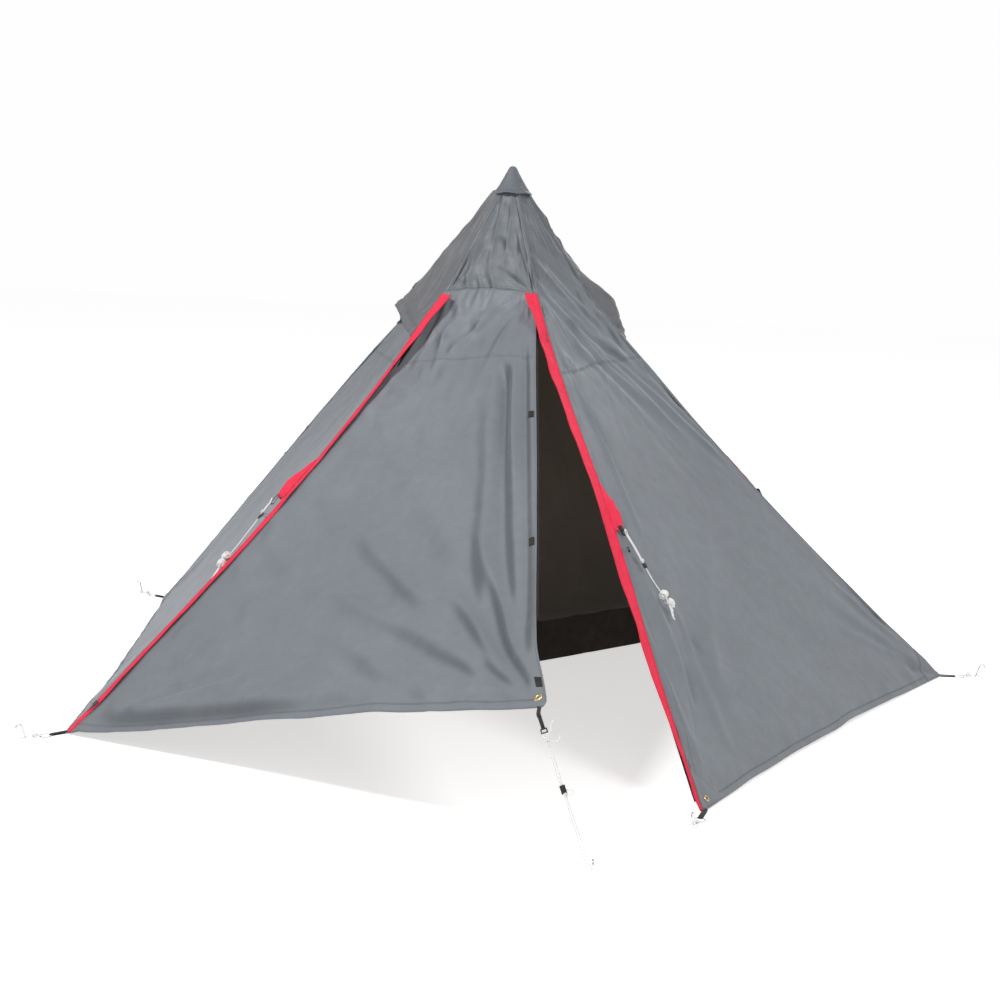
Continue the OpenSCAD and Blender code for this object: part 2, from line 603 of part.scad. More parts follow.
wall_left_lower();
wall_left_upper();
wall_rear_left_lower();
wall_rear_left_upper();
wall_rear_right_lower();
wall_rear_right_upper();
wall_right_lower();
wall_right_upper();
front_gable();
door_hinge_panel();
top_cap();
apex_pocket();
ridge_tapes();
hem_tapes();
storm_flap_left();
storm_flap_right();
zip_tape_left();
zip_tape_right();
vent_hood_left();
vent_hood_right();
vent_mesh();
vent_prop_mounts();
vent_prop_left();
vent_prop_right();
corner_patches();
corner_grommets();
corner_loops();
corner_rings();
corner_cords();
ground_pegs();
guy_patches();
guy_loops();
door_toggles();
flap_fastener_tabs();
pole_section_bottom();
pole_sections_middle();
pole_section_top();
pole_ferrules();
pole_foot();
pole_tip();
pole_shock_cord();
inner_floor();
inner_sill();
inner_mesh_walls();
inner_front_sill();
inner_front_mesh();
inner_door();
zip_slider_left();
zip_slider_right();
door_panel_lower();
door_panel_upper();
door_zip_tape();
door_fastener_tabs();
door_corner_loop();
door_grommet();
door_guyline();
guyline_runner();
ridge_guyline_left();
ridge_guyline_right();
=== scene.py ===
"""A five-sided pyramid tent with its door guyed open, an inner tent and a centre pole.

Metres, +Z up. The tent stands on z = 0 with its pole on the Z axis. The front wall and door
face -Y. Walls and corners count counterclockwise seen from above: wall 0 front, 1 right,
2 rear right, 3 rear left, 4 left. Wall i runs from corner i to corner i + 1. Corner 0 is
front left, 1 front right, 2 right, 3 rear and 4 left. Across a wall, "span" runs from -1 at
corner i to 1 at corner i + 1. A "side" is -1 or 1 for the same two ends.
"""
import math

import bpy
import numpy as np
from mathutils import Matrix, Vector


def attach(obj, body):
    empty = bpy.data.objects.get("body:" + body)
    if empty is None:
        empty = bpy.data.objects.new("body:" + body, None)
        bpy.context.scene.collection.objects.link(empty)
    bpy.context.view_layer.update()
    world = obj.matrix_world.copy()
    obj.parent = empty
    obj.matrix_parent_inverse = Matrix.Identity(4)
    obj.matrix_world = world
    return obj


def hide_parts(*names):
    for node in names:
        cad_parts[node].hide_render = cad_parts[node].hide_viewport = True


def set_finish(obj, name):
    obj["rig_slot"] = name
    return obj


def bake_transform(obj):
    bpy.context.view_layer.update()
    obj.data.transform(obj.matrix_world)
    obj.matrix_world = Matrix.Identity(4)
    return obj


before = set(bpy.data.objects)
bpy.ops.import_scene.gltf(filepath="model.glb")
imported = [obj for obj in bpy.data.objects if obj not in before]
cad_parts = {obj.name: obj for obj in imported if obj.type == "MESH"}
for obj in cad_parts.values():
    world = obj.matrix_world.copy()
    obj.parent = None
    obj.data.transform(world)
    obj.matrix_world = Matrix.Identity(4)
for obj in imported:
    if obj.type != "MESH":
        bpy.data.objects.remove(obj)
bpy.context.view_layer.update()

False          # nothing is simulated

# ---------------------------------------------------------------- driving sizes
APEX_Z, KNEE_Z, SEAM_Z = 1.8, 1.363, 1.116      # top, break of slope, cross seam
CORNER_R, KNEE_R = 1.675, 0.276                 # radius of the corners on the ground and knee
COS36, SIN36 = math.cos(math.radians(36)), math.sin(math.radians(36))
CORNER_ANGLE = [math.radians(234 + 72 * i) for i in range(5)]
WALL_ANGLE = [math.radians(270 + 72 * i) for i in range(5)]
SLANT = math.hypot((CORNER_R - KNEE_R) * COS36, KNEE_Z)     # hem to knee, up a wall's middle
FOOT_HALF, KNEE_HALF = CORNER_R * SIN36, KNEE_R * SIN36     # half widths of a wall
UP = np.array([0, 0, 1.0])


def compass(angle, radius=1.0, z=0.0):
    return np.array([radius * math.cos(angle), radius * math.sin(angle), z])


def sideways(angle):
    """Level direction at right angles to a compass angle, counterclockwise."""
    return np.array([-math.sin(angle), math.cos(angle), 0.0])


HINGE_FOOT = np.round(compass(CORNER_ANGLE[0], CORNER_R), 5)
ZIP_TOP = np.round(compass(CORNER_ANGLE[1], KNEE_R, KNEE_Z), 6)
GUY_CORNER = np.array((0.62090, -1.84770, 0.38020))         # guyed corner of the door
FRONT_OUT = np.array((0.0, -0.7693, 0.6388))                # outward from the front wall
DOOR_PEG = np.array([0.785, -1.900, 0.0])


# ---------------------------------------------------------------- curves and noise
def unit(vec):
    vec = np.asarray(vec, float)
    return vec / np.maximum(np.linalg.norm(vec, axis=-1, keepdims=True), 1e-12)


def ease(value, start=0.0, end=1.0):
    """Smooth step from 0 at start to 1 at end."""
    t = np.clip((np.asarray(value, float) - start) / (end - start), 0, 1)
    return t * t * (3 - 2 * t)


def bell(value, width):
    return np.exp(-(np.asarray(value, float) / width) ** 2)


def hash_grid(ix, iy, seed):
    bits = (ix.astype(np.int64) * 374761393 + iy.astype(np.int64) * 668265263
            + seed * 974634777) & 0xFFFFFFFF
    bits = ((bits ^ (bits >> 13)) * 1274126177) & 0xFFFFFFFF
    return ((bits ^ (bits >> 16)) & 0xFFFFFFFF) / 2147483647.5 - 1.0


def noise(x, y, seed):
    """Smooth seeded noise from -1 to 1 with cells of size 1."""
    x, y = np.broadcast_arrays(np.asarray(x, float), np.asarray(y, float))
    ix, iy = np.floor(x), np.floor(y)
    fx, fy = x - ix, y - iy
    wx = fx ** 3 * (fx * (fx * 6 - 15) + 10)
    wy = fy ** 3 * (fy * (fy * 6 - 15) + 10)
    near = hash_grid(ix, iy, seed) * (1 - wx) + hash_grid(ix + 1, iy, seed) * wx
    far = hash_grid(ix, iy + 1, seed) * (1 - wx) + hash_grid(ix + 1, iy + 1, seed) * wx
    return near * (1 - wy) + far * wy


def billow(x, y, seed):
    """Three octaves of noise."""
    return sum(0.5 ** k * noise(x * 2 ** k, y * 2 ** k, seed + 17 * k) for k in range(3)) / 1.75


def folds(x, y, seed, sharp=1.6):
    """Noise turned into folds with narrow crests and wide troughs."""
    field = noise(x, y, seed)
    return (1 - np.minimum(np.sqrt(field * field + 0.012), 1)) ** sharp * 1.6 - 0.8


def fan(x, y, from_x, from_y, aim, spread, count, grow, reach, height, seed, sharp=1.6):
    """Tension folds that run out from a point.

    aim and spread are in degrees, count is folds per radian, the folds grow over the
    distance grow and fade at the distance reach.
    """
    away_x, away_y = x - from_x, y - from_y
    dist = np.hypot(away_x, away_y)
    angle = np.arctan2(away_y, away_x) - math.radians(aim)
    angle = (angle + np.pi) % (2 * np.pi) - np.pi
    inside = np.exp(-(angle / math.radians(spread)) ** 4)
    amp = height * inside * ease(dist / grow) / (1 + (dist / reach) ** 4)
    limit = 0.15 * 2.0 * (dist + 0.01) / count      # folds stay gentler than their own width
    amp = amp / (1 + amp / limit)
    return 1.25 * amp * folds(angle * count + 50, np.log(dist + 0.06) * 1.1 + 20, seed, sharp)


def fans(x, y, *rows):
    """Sum of fans, each row (x, y, aim, spread, count, grow, reach, height, seed[, sharp])."""
    return sum(fan(x, y, *row) for row in rows)


def crease(x, y, x0, y0, x1, y1, width, height, bend=0.0):
    """A soft fold along a bowed line, tapering at both ends, with a trough beside it."""
    step_x, step_y = x1 - x0, y1 - y0
    length = np.hypot(step_x, step_y)
    t = ((x - x0) * step_x + (y - y0) * step_y) / length ** 2
    off = ((y - y0) * step_x - (x - x0) * step_y) / length - bend * 4 * t * (1 - t)
    taper = ease(t, -0.05, 0.25) * (1 - ease(t, 0.7, 1.06))
    return height * taper * (bell(off, width) - 0.4 * bell(off - 1.9 * width, 1.3 * width))


# ---------------------------------------------------------------- materials
BLACK = (0.0, 0.0, 0.0)
TURN = 6.2832       # one turn, which changes a yarn pitch into a wave scale


def times(color, factor):
    return tuple(factor * channel for channel in color)


def paler(color, factor, add):
    return tuple(min(1, factor * channel + add) for channel in color)


def feed(tree, socket, value):
    """Links a socket, or sets a number, vector or RGB colour."""
    if isinstance(value, bpy.types.NodeSocket):
        tree.links.new(value, socket)
    elif isinstance(value, tuple) and socket.type == "RGBA":
        socket.default_value = (*value, 1)
    else:
        socket.default_value = value


class Shader:
    """A material with one Principled shader and short makers for the nodes it needs."""

    def __init__(self, name):
        self.material = bpy.data.materials.new(name)
        self.material.use_nodes = True
        self.tree = self.material.node_tree
        self.tree.nodes.clear()
        output = self.tree.nodes.new("ShaderNodeOutputMaterial")
        self.principled = self.tree.nodes.new("ShaderNodeBsdfPrincipled")
        self.tree.links.new(self.principled.outputs[0], output.inputs[0])

    def node(self, kind, inputs, output=0, **settings):
        made = self.tree.nodes.new(kind)
        for key, value in settings.items():
            setattr(made, key, value)
        for key, value in inputs.items():
            feed(self.tree, made.inputs[key], value)
        return made.outputs[output]

    def coord(self, which="Object", scale=(1, 1, 1), turn=(0, 0, 0)):
        source = self.node("ShaderNodeTexCoord", {}, which)
        return self.node("ShaderNodeMapping", {0: source, "Scale": scale, "Rotation": turn})

    def height(self, coord):
        return self.node("ShaderNodeSeparateXYZ", {0: coord}, 2)

    def noise(self, coord, scale, detail=3.0, rough=0.55, distort=0.0):
        return self.node("ShaderNodeTexNoise", {
            "Scale": scale, "Detail": detail, "Roughness": rough, "Distortion": distort,
            "Vector": coord}, "Fac")

    def wave(self, coord, scale, direction="X", distort=0.0):
        return self.node("ShaderNodeTexWave", {
            "Scale": scale, "Distortion": distort, "Detail": 1.0, "Vector": coord}, "Fac",
            bands_direction=direction)

    def remap(self, value, source, target):
        return self.node("ShaderNodeMapRange", {
            0: value, 1: source[0], 2: source[1], 3: target[0], 4: target[1]})

    def calc(self, operation, first, second):
        return self.node("ShaderNodeMath", {0: first, 1: second}, operation=operation)

    def mix(self, factor, first, second):
        return self.node("ShaderNodeMix", {0: factor, 6: first, 7: second}, 2,
                         data_type="RGBA")

    def bump(self, height, strength, depth, under=None):
        inputs = {"Strength": strength, "Distance": depth, "Height": height}
        if under is not None:
            inputs["Normal"] = under
        return self.node("ShaderNodeBump", inputs)

    def finish(self, **inputs):
        for key, value in inputs.items():
            feed(self.tree, self.principled.inputs[key.replace("_", " ")], value)
        return self.material


def woven(name, low, high, rough=(0.5, 0.66), pitch=1500, weave=0.22, crinkle=0.30, sheen=0.20,
          tint=(0.9, 0.92, 1.0), scale=1.0, soil=0.0, painted_height_shade=None, shade=0.0):
    """Plain-woven cloth: crossed yarn waves, fine crinkles and slow colour drift.

    soil dirties the hem. The height band is painted shade by height: (z0, z1, light at z0,
    light at z1). shade is how strongly the sheet's painted fold shade darkens the colour.
    """
    mat = Shader(name)
    uv, place = mat.coord("UV"), mat.coord()
    slow = mat.noise(place, 2.2 * scale, detail=4, rough=0.6)
    mid = mat.noise(place, 23 * scale, detail=4, rough=0.62, distort=0.4)
    color = mat.mix(mat.remap(slow, (0.32, 0.68), (0, 1)), low, high)
    color = mat.mix(mat.remap(mid, (0.3, 0.7), (0.0, 0.30)), color, times(low, 0.78))
    wave_scale = pitch / TURN * 2
    yarn = mat.calc("MULTIPLY", mat.wave(uv, wave_scale, "X"), mat.wave(uv, wave_scale, "Y"))
    color = mat.mix(mat.remap(yarn, (0, 1), (0.10, 0.0)), color, times(low, 0.55))
    if soil:
        near_hem = mat.remap(mat.height(place), (0.0, 0.22), (1.0, 0.0))
        spots = mat.remap(mat.noise(place, 9, detail=5, rough=0.7), (0.42, 0.75), (0.0, soil))
        color = mat.mix(mat.calc("MULTIPLY", near_hem, spots), color, (0.16, 0.145, 0.125))
    # painted shade by height: the colour darkens between two heights where less light falls
    if painted_height_shade:
        wander = mat.noise(place, 3.0, detail=3, rough=0.5, distort=0.3)
        level = mat.calc("ADD", mat.height(place),
                         mat.remap(wander, (0.3, 0.7), (-0.03, 0.03)))
        light = mat.remap(level, painted_height_shade[:2], painted_height_shade[2:])
        color = mat.mix(mat.calc("SUBTRACT", 1.0, light), color, BLACK)
    # painted shade in the folds: darker where the cloth leans away from the light
    if shade:
        painted_fold_shade = mat.node("ShaderNodeAttribute", {}, "Fac", attribute_name="painted_fold_shade")
        color = mat.mix(mat.calc("MULTIPLY", painted_fold_shade, shade), color, BLACK)
    broad = mat.noise(place, 16 * scale, detail=5, rough=0.62, distort=0.6)
    fine = mat.noise(place, 75 * scale, detail=4, rough=0.6, distort=0.9)
    normal = mat.bump(broad, strength=crinkle * 0.6, depth=0.010)
    normal = mat.bump(fine, strength=crinkle * 0.45, depth=0.0022, under=normal)
    normal = mat.bump(mat.calc("MULTIPLY", yarn, weave), strength=weave, depth=0.00045,
                      under=normal)
    return mat.finish(Base_Color=color, Roughness=mat.remap(mid, (0.3, 0.7), rough),
                      Normal=normal, Sheen_Weight=sheen, Sheen_Roughness=0.45,
                      Sheen_Tint=tint, Specular_IOR_Level=0.42)


def webbing(name, low, high, pitch=1400.0, rough=0.72):
    mat = Shader(name)
    place = mat.coord()
    yarn = mat.calc("MAXIMUM", mat.wave(place, pitch / TURN, "DIAGONAL", distort=0.6),
                    mat.wave(place, pitch / TURN, "Z", distort=0.8))
    color = mat.mix(yarn, low, high)
    fuzz = mat.noise(place, 60, detail=4, rough=0.7)
    color = mat.mix(mat.remap(fuzz, (0.45, 0.75), (0, 0.35)), color, paler(high, 2.4, 0.02))
    return mat.finish(Base_Color=color, Roughness=mat.remap(yarn, (0, 1), (rough, rough - 0.12)),
                      Normal=mat.bump(yarn, strength=0.5, depth=0.0006),
                      Sheen_Weight=0.03, Specular_IOR_Level=0.28)


def plastic(name, color, rough=0.38, grain=900.0):
    mat = Shader(name)
    place = mat.coord()
    wear = mat.noise(place, 45, detail=5, rough=0.65)
    worn = mat.mix(mat.remap(wear, (0.5, 0.78), (0, 0.45)), color, paler(color, 1.9, 0.025))
    pits = mat.noise(place, grain, detail=3, rough=0.5)
    return mat.finish(Base_Color=worn,
                      Roughness=mat.remap(wear, (0.3, 0.7), (rough, rough + 0.2)),
                      Normal=mat.bump(pits, strength=0.25, depth=0.0003))


def metal(name, color, rough, tarnish, amount, brushed=False):
    """Metal, brushed along Z or even, with patches of tarnish."""
    mat = Shader(name)
    grain = mat.coord(scale=(1, 1, 0.04) if brushed else (1, 1, 1))
    fine = mat.noise(grain, 700, detail=3, rough=0.6)
    wear = mat.noise(mat.coord(), 38, detail=5, rough=0.66)
    return mat.finish(Base_Color=mat.mix(mat.remap(wear, (0.45, 0.78), (0, amount)),
                                         color, tarnish),
                      Metallic=1.0, Roughness=mat.remap(fine, (0.3, 0.7), rough),
                      Normal=mat.bump(fine, strength=0.12, depth=0.0002))


def braid(name, low, high, fleck=(0.62, 0.63, 0.62)):
    """Braided cord: crossed diagonal strands, with UV x round the cord and y along it."""
    mat = Shader(name)
    strands = [mat.wave(mat.coord("UV", turn=(0, 0, math.radians(lean))), 150)
               for lean in (38, -38)]
    yarn = mat.calc("MAXIMUM", *strands)
    flecks = mat.noise(mat.coord(), 420, detail=2, rough=0.5)
    color = mat.mix(yarn, low, high)
    color = mat.mix(mat.remap(flecks, (0.62, 0.7), (0, 0.5)), color, fleck)
    return mat.finish(Base_Color=color, Roughness=0.62, Sheen_Weight=0.2,
                      Normal=mat.bump(yarn, strength=0.55, depth=0.0007))


def net(name, color, hole, pitch=5200.0):
    """Insect net: a fine yarn grid whose holes let the share "hole" of the light through."""
    mat = Shader(name)
    uv = mat.coord("UV")
    grid = mat.calc("MAXIMUM", mat.wave(uv, pitch / TURN, "X"), mat.wave(uv, pitch / TURN, "Y"))
    drift = mat.noise(mat.coord(), 5, detail=3, rough=0.6)
    drifted = mat.mix(mat.remap(drift, (0.3, 0.7), (0, 1)), color, times(color, 1.5))
    opening = mat.calc("MULTIPLY", mat.remap(grid, (0.80, 0.93), (1.0, 0.0)), hole)
    return mat.finish(Base_Color=drifted, Roughness=0.8,
                      Alpha=mat.calc("SUBTRACT", 1.0, opening),
                      Normal=mat.bump(grid, strength=0.3, depth=0.0003))


def principled_of(material):
    return next(n for n in material.node_tree.nodes if n.type == "BSDF_PRINCIPLED")


def painted_glow(material, color, fade=None):
    """Painted light: emission for daylight soaking through thin cloth; fade is (z0, z1, share of
    it left at z0), painted shade low down.
    """
    inputs = principled_of(material).inputs
    inputs["Emission Color"].default_value = (*color, 1)
    inputs["Emission Strength"].default_value = 1.0
    if fade:
        tree = material.node_tree
        source = tree.nodes.new("ShaderNodeTexCoord")
        split = tree.nodes.new("ShaderNodeSeparateXYZ")
        ramp = tree.nodes.new("ShaderNodeMapRange")
        tree.links.new(source.outputs["Object"], split.inputs[0])
        tree.links.new(split.outputs[2], ramp.inputs[0])
        for key, value in zip((1, 2, 3, 4), (*fade, 1.0)):
            ramp.inputs[key].default_value = value
        tree.links.new(ramp.outputs[0], inputs["Emission Strength"])


GREY_LOW, GREY_HIGH = (0.150, 0.166, 0.184), (0.176, 0.194, 0.214)
WARM_TINT = (0.8, 0.7, 0.6)
# painted shade: the steep gable above the knee is darkened to 74 percent
M_CANOPY = woven("canopy_ripstop", GREY_LOW, GREY_HIGH, rough=(0.46, 0.60), soil=0.12,
                 painted_height_shade=(1.33, 1.48, 1.0, 0.74), shade=0.52)
# painted light: the door is the canopy cloth painted 3 to 4 percent lighter
M_DOOR = woven("door_ripstop", times(GREY_LOW, 1.03), times(GREY_HIGH, 1.04),
               rough=(0.46, 0.60), crinkle=0.34, soil=0.12, shade=0.44)
M_HOOD = woven("hood_cloth", (0.114, 0.115, 0.123), (0.133, 0.135, 0.143), rough=(0.5, 0.64),
               crinkle=0.7, sheen=0.16)
M_CAP = woven("cap_cloth", times(GREY_LOW, 0.68), times(GREY_HIGH, 0.74), pitch=1100,
              weave=0.3, crinkle=0.55, scale=2.0)
# painted shade: the lining darkens towards the ground inside the tent
M_LINING = woven("canopy_inside", (0.110, 0.098, 0.084), (0.134, 0.119, 0.102),
                 rough=(0.6, 0.75), weave=0.2, sheen=0.1, tint=(0.8, 0.75, 0.7),
                 painted_height_shade=(0.16, 0.50, 0.35, 1.0))
M_RED = woven("storm_flap_red", (0.76, 0.013, 0.056), (0.88, 0.022, 0.074),
              rough=(0.60, 0.76), pitch=1300, weave=0.3, crinkle=0.8, sheen=0.07,
              tint=(1.0, 0.7, 0.75), scale=2.2)
M_SILL = woven("inner_sill_cloth", (0.010, 0.0075, 0.006), (0.016, 0.012, 0.010),
               rough=(0.6, 0.8), pitch=1300, weave=0.25, crinkle=0.7, sheen=0.02,
               tint=WARM_TINT)
M_FLOOR = woven("inner_floor_cloth", (0.024, 0.020, 0.016), (0.034, 0.028, 0.022),
                rough=(0.42, 0.6), pitch=1300, weave=0.25, crinkle=0.7, sheen=0.1,
                tint=WARM_TINT)
M_NET = net("insect_net", (0.030, 0.025, 0.021), hole=0.60)
M_VENT_NET = net("vent_net", (0.012, 0.012, 0.013), hole=0.45, pitch=4200)
M_WEB = webbing("black_webbing_weave", (0.008, 0.007, 0.007), (0.030, 0.027, 0.026))
M_GREY_TAPE = webbing("grey_tape_weave", (0.075, 0.082, 0.090), (0.150, 0.162, 0.176))
webbing("red_tape_weave", (0.30, 0.014, 0.028), (0.60, 0.040, 0.070))   # on no piece yet
M_HOOK = webbing("hook_tape_weave", (0.010, 0.008, 0.008), (0.026, 0.022, 0.020),
                 pitch=2600, rough=0.85)
M_ZIP = webbing("zip_tape_weave", (0.004, 0.0035, 0.003), (0.012, 0.0105, 0.009),
                pitch=2400, rough=0.85)
M_PLASTIC = plastic("black_plastic_moulded", (0.012, 0.012, 0.013))
M_RUBBER = plastic("foot_rubber_moulded", (0.018, 0.018, 0.019), rough=0.7, grain=500)
M_CORD = braid("white_cord_braid", (0.58, 0.58, 0.57), (0.87, 0.87, 0.86))
M_SHOCK = braid("shock_cord_braid", (0.015, 0.015, 0.016), (0.05, 0.05, 0.052),
                fleck=(0.3, 0.3, 0.3))
M_BRASS = metal("brass_grommet", (0.83, 0.62, 0.30), rough=(0.2, 0.38),
                tarnish=(0.38, 0.26, 0.12), amount=0.4)
M_STEEL = metal("steel_ring", (0.55, 0.55, 0.56), rough=(0.2, 0.4),
                tarnish=(0.25, 0.24, 0.23), amount=0.3)
M_PEG = metal("peg_steel", (0.66, 0.66, 0.67), rough=(0.24, 0.45),
              tarnish=(0.34, 0.31, 0.28), amount=0.35, brushed=True)
M_ALUMINIUM = metal("pole_aluminium", (0.72, 0.73, 0.75), rough=(0.25, 0.42),
                    tarnish=(0.45, 0.45, 0.46), amount=0.2, brushed=True)
M_THREAD = webbing("seam_thread", (0.052, 0.056, 0.060), (0.110, 0.118, 0.126),
                   pitch=3000, rough=0.7)
M_RED_THREAD = webbing("flap_thread", (0.26, 0.012, 0.024), (0.42, 0.022, 0.044),
                       pitch=3000, rough=0.7)
# painted light: the lining, net and sill glow though they are no lamps; the fades are painted
# shade near the ground
painted_glow(M_LINING, (0.066, 0.051, 0.038), fade=(0.10, 0.50, 0.10))
painted_glow(M_NET, (0.0175, 0.0135, 0.0100), fade=(0.16, 0.5, 0.3))
painted_glow(M_SILL, (0.0036, 0.0024, 0.0018))
principled_of(M_SILL).inputs["Specular IOR Level"].default_value = 0.15


# ---------------------------------------------------------------- mesh makers
def add_mesh(name, points, faces, materials, face_material, uv, smooth):
    mesh = bpy.data.meshes.new(name)
    mesh.from_pydata(np.asarray(points, float).tolist(), [],
                     [list(map(int, face)) for face in faces])
    for material in materials:
        mesh.materials.append(material)
    if face_material is not None:
        mesh.polygons.foreach_set("material_index", np.asarray(face_material, np.int32))
    mesh.polygons.foreach_set("use_smooth", np.full(len(mesh.polygons), smooth))
    layer = mesh.uv_layers.new(name="UVMap")
    corner_vertex = np.empty(len(mesh.loops), np.int32)
    mesh.loops.foreach_get("vertex_index", corner_vertex)
    layer.data.foreach_set("uv", np.asarray(uv, float)[corner_vertex].ravel())
    mesh.update()
    piece = bpy.data.objects.new(name, mesh)
    bpy.context.scene.collection.objects.link(piece)
    return piece


def register(piece, body, slot, stands_for):
    if body:
        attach(piece, body)
    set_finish(piece, slot)
    if stands_for:
        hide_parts(stands_for)


def normals(grid, wrap=False):
    """Outward normals of a grid whose rows go up and columns go right seen from outside."""
    if wrap:
        across = np.roll(grid, -1, 1) - np.roll(grid, 1, 1)
    else:
        across = np.gradient(grid, axis=1)
    return unit(np.cross(across, np.gradient(grid, axis=0)))


def facing(grid, outward):
    """The grid with its columns turned round if its middle faces away from outward."""
    middle = grid.shape[0] // 2, grid.shape[1] // 2
    if normals(grid)[middle] @ np.broadcast_to(outward, grid.shape)[middle] < 0:
        return grid[:, ::-1]
    return grid


def run(points, axis=0):
    """Distance travelled along an axis of a curve or grid of points."""
    steps = np.linalg.norm(np.diff(points, axis=axis), axis=-1)
    return np.insert(np.cumsum(steps, axis=axis), 0, 0.0, axis=axis)


def along(where, keys, points):
    """Points of a curve at the key values in where."""
    return np.stack([np.interp(where, keys, points[:, j]) for j in range(3)], -1)


def soften_inside(grid):
    """One smoothing pass over all but the border of a grid."""
    out = grid.copy()
    out[1:-1, 1:-1] = (4 * grid[1:-1, 1:-1] + grid[:-2, 1:-1] + grid[2:, 1:-1]
                       + grid[1:-1, :-2] + grid[1:-1, 2:]) / 8
    return out


def painted_fold_shading(out, wrap):
    """Painted fold shade: how far each bit of cloth leans out of the light compared with its
    surroundings.
    """
    def blur(field, passes):
        for _ in range(passes):
            if wrap:
                wide = (np.roll(field, 1, 1) + 2 * field + np.roll(field, -1, 1)) / 4
            else:
                wide = field.copy()
                wide[:, 1:-1] = (field[:, :-2] + 2 * field[:, 1:-1] + field[:, 2:]) / 4
            field = wide.copy()
            field[1:-1] = (wide[:-2] + 2 * wide[1:-1] + wide[2:]) / 4
        return field

    light = unit(np.array([0.72, -0.10, 0.62]))
    lean = (blur(out, 40) - blur(out, 2)) @ light
    return ease(blur(np.clip(lean / 0.24, 0, 1), 1), -0.05, 1.0)


def sheet(name, grid, material, thick, slot="canopy_fabric", body="shelter", stands_for=None,
          under=None, uv=None, wrap=False, keep=None, with_painted_shade=False):
    """Closed thin sheet over a grid; keep masks its cells, under is its inner material."""
    rows, cols = grid.shape[:2]
    count = rows * cols
    out = normals(grid, wrap)
    index = np.arange(count).reshape(rows, cols)
    if wrap:
        index = np.concatenate([index, index[:, :1]], 1)
    quads = np.stack([index[:-1, :-1], index[:-1, 1:], index[1:, 1:], index[1:, :-1]], -1)
    quads = quads.reshape(-1, 4) if keep is None else quads[keep]
    # the rim follows the directed edges that no neighbouring cell uses
    edges = np.concatenate([quads[:, [j, (j + 1) % 4]] for j in range(4)])
    forward = edges[:, 0] * count + edges[:, 1]
    backward = edges[:, 1] * count + edges[:, 0]
    start, end = edges[~np.isin(forward, backward)].T
    rim = np.stack([end, start, start + count, end + count], -1)
    faces = np.concatenate([quads, quads[:, ::-1] + count, rim])
    points = np.concatenate([grid.reshape(-1, 3), (grid - out * thick).reshape(-1, 3)])
    if uv is None:
        across = run(grid, 1)
        uv = np.stack([across - across[:, cols // 2: cols // 2 + 1], run(grid, 0)], -1)
    uv = np.concatenate([uv.reshape(-1, 2)] * 2)
    face_material = np.zeros(len(faces), int)
    if under is not None:
        face_material[len(quads): 2 * len(quads)] = 1
    used = np.unique(faces)
    renumber = np.full(len(points), -1)
    renumber[used] = np.arange(len(used))
    piece = add_mesh(name, points[used], renumber[faces],
                     [material] if under is None else [material, under],
                     face_material, uv[used], True)
    # painted fold shade, stored per point for the material to darken by
    if with_painted_shade:
        depth = painted_fold_shading(out, wrap).ravel()
        attribute = piece.data.attributes.new("painted_fold_shade", "FLOAT", "POINT")
        both = np.concatenate([depth, depth])[used].astype(np.float32)
        attribute.data.foreach_set("value", both)
    register(piece, body, slot, stands_for)
    return piece


def joined(name, parts, material, slot, smooth=False, body="shelter", stands_for=None):
    """One object from several (points, faces, uv or None) parts."""
    points, faces, uvs, offset = [], [], [], 0
    for part_points, part_faces, part_uv in parts:
        points.append(part_points)
        uvs.append(part_points[:, :2] if part_uv is None else part_uv)
        faces += [[j + offset for j in face] for face in part_faces]
        offset += len(part_points)
    piece = add_mesh(name, np.vstack(points), faces, [material], None, np.vstack(uvs), smooth)
    register(piece, body, slot, stands_for)
    return piece


def loft_faces(rings, sides):
    """Side quads and two end caps of a stack of rings."""
    index = np.arange(rings * sides).reshape(rings, sides)
    after = np.roll(index, -1, 1)
    quads = np.stack([index[:-1], after[:-1], after[1:], index[1:]], -1).reshape(-1, 4)
    return quads.tolist() + [index[0][::-1].tolist(), index[-1].tolist()]


def tube(curve, radius, sides=9):
    """Round cord along a curve, its section carried along without twist."""
    curve = np.asarray(curve, float)
    tangent = unit(np.gradient(curve, axis=0))
    normal = np.cross(tangent[0], (0, 0, 1))
    if np.linalg.norm(normal) < 1e-3:
        normal = np.cross(tangent[0], (1, 0.2, 0))
    carried = []
    normal = unit(normal)
    for direction in tangent:
        normal = unit(normal - direction * np.dot(normal, direction))
        carried.append(normal)
    first = np.array(carried)
    second = np.cross(tangent, first)
    angle = np.linspace(0, 2 * np.pi, sides, endpoint=False)
    points = curve[:, None] + radius * (np.cos(angle)[None, :, None] * first[:, None]
                                        + np.sin(angle)[None, :, None] * second[:, None])
    uv = np.stack(np.broadcast_arrays(angle[None] / (2 * np.pi) * 0.012,
                                      run(curve)[:, None]), -1)
    return points.reshape(-1, 3), loft_faces(len(curve), sides), uv.reshape(-1, 2)


def smooth_path(points, samples):
    """Catmull-Rom curve through points."""
    pts = np.asarray(points, float)
    pts = np.vstack([2 * pts[0] - pts[1], pts, 2 * pts[-1] - pts[-2]])
    pieces = len(pts) - 3
    t = np.linspace(0, 1, max(2, samples // pieces), endpoint=False)[:, None]
    out = []
    for k in range(pieces):
        p0, p1, p2, p3 = pts[k: k + 4]
        out.append(0.5 * (2 * p1 + (p2 - p0) * t + (2 * p0 - 5 * p1 + 4 * p2 - p3) * t ** 2
                          + (3 * p1 - p0 - 3 * p2 + p3) * t ** 3))
    return np.vstack(out + [pts[-2:-1]])


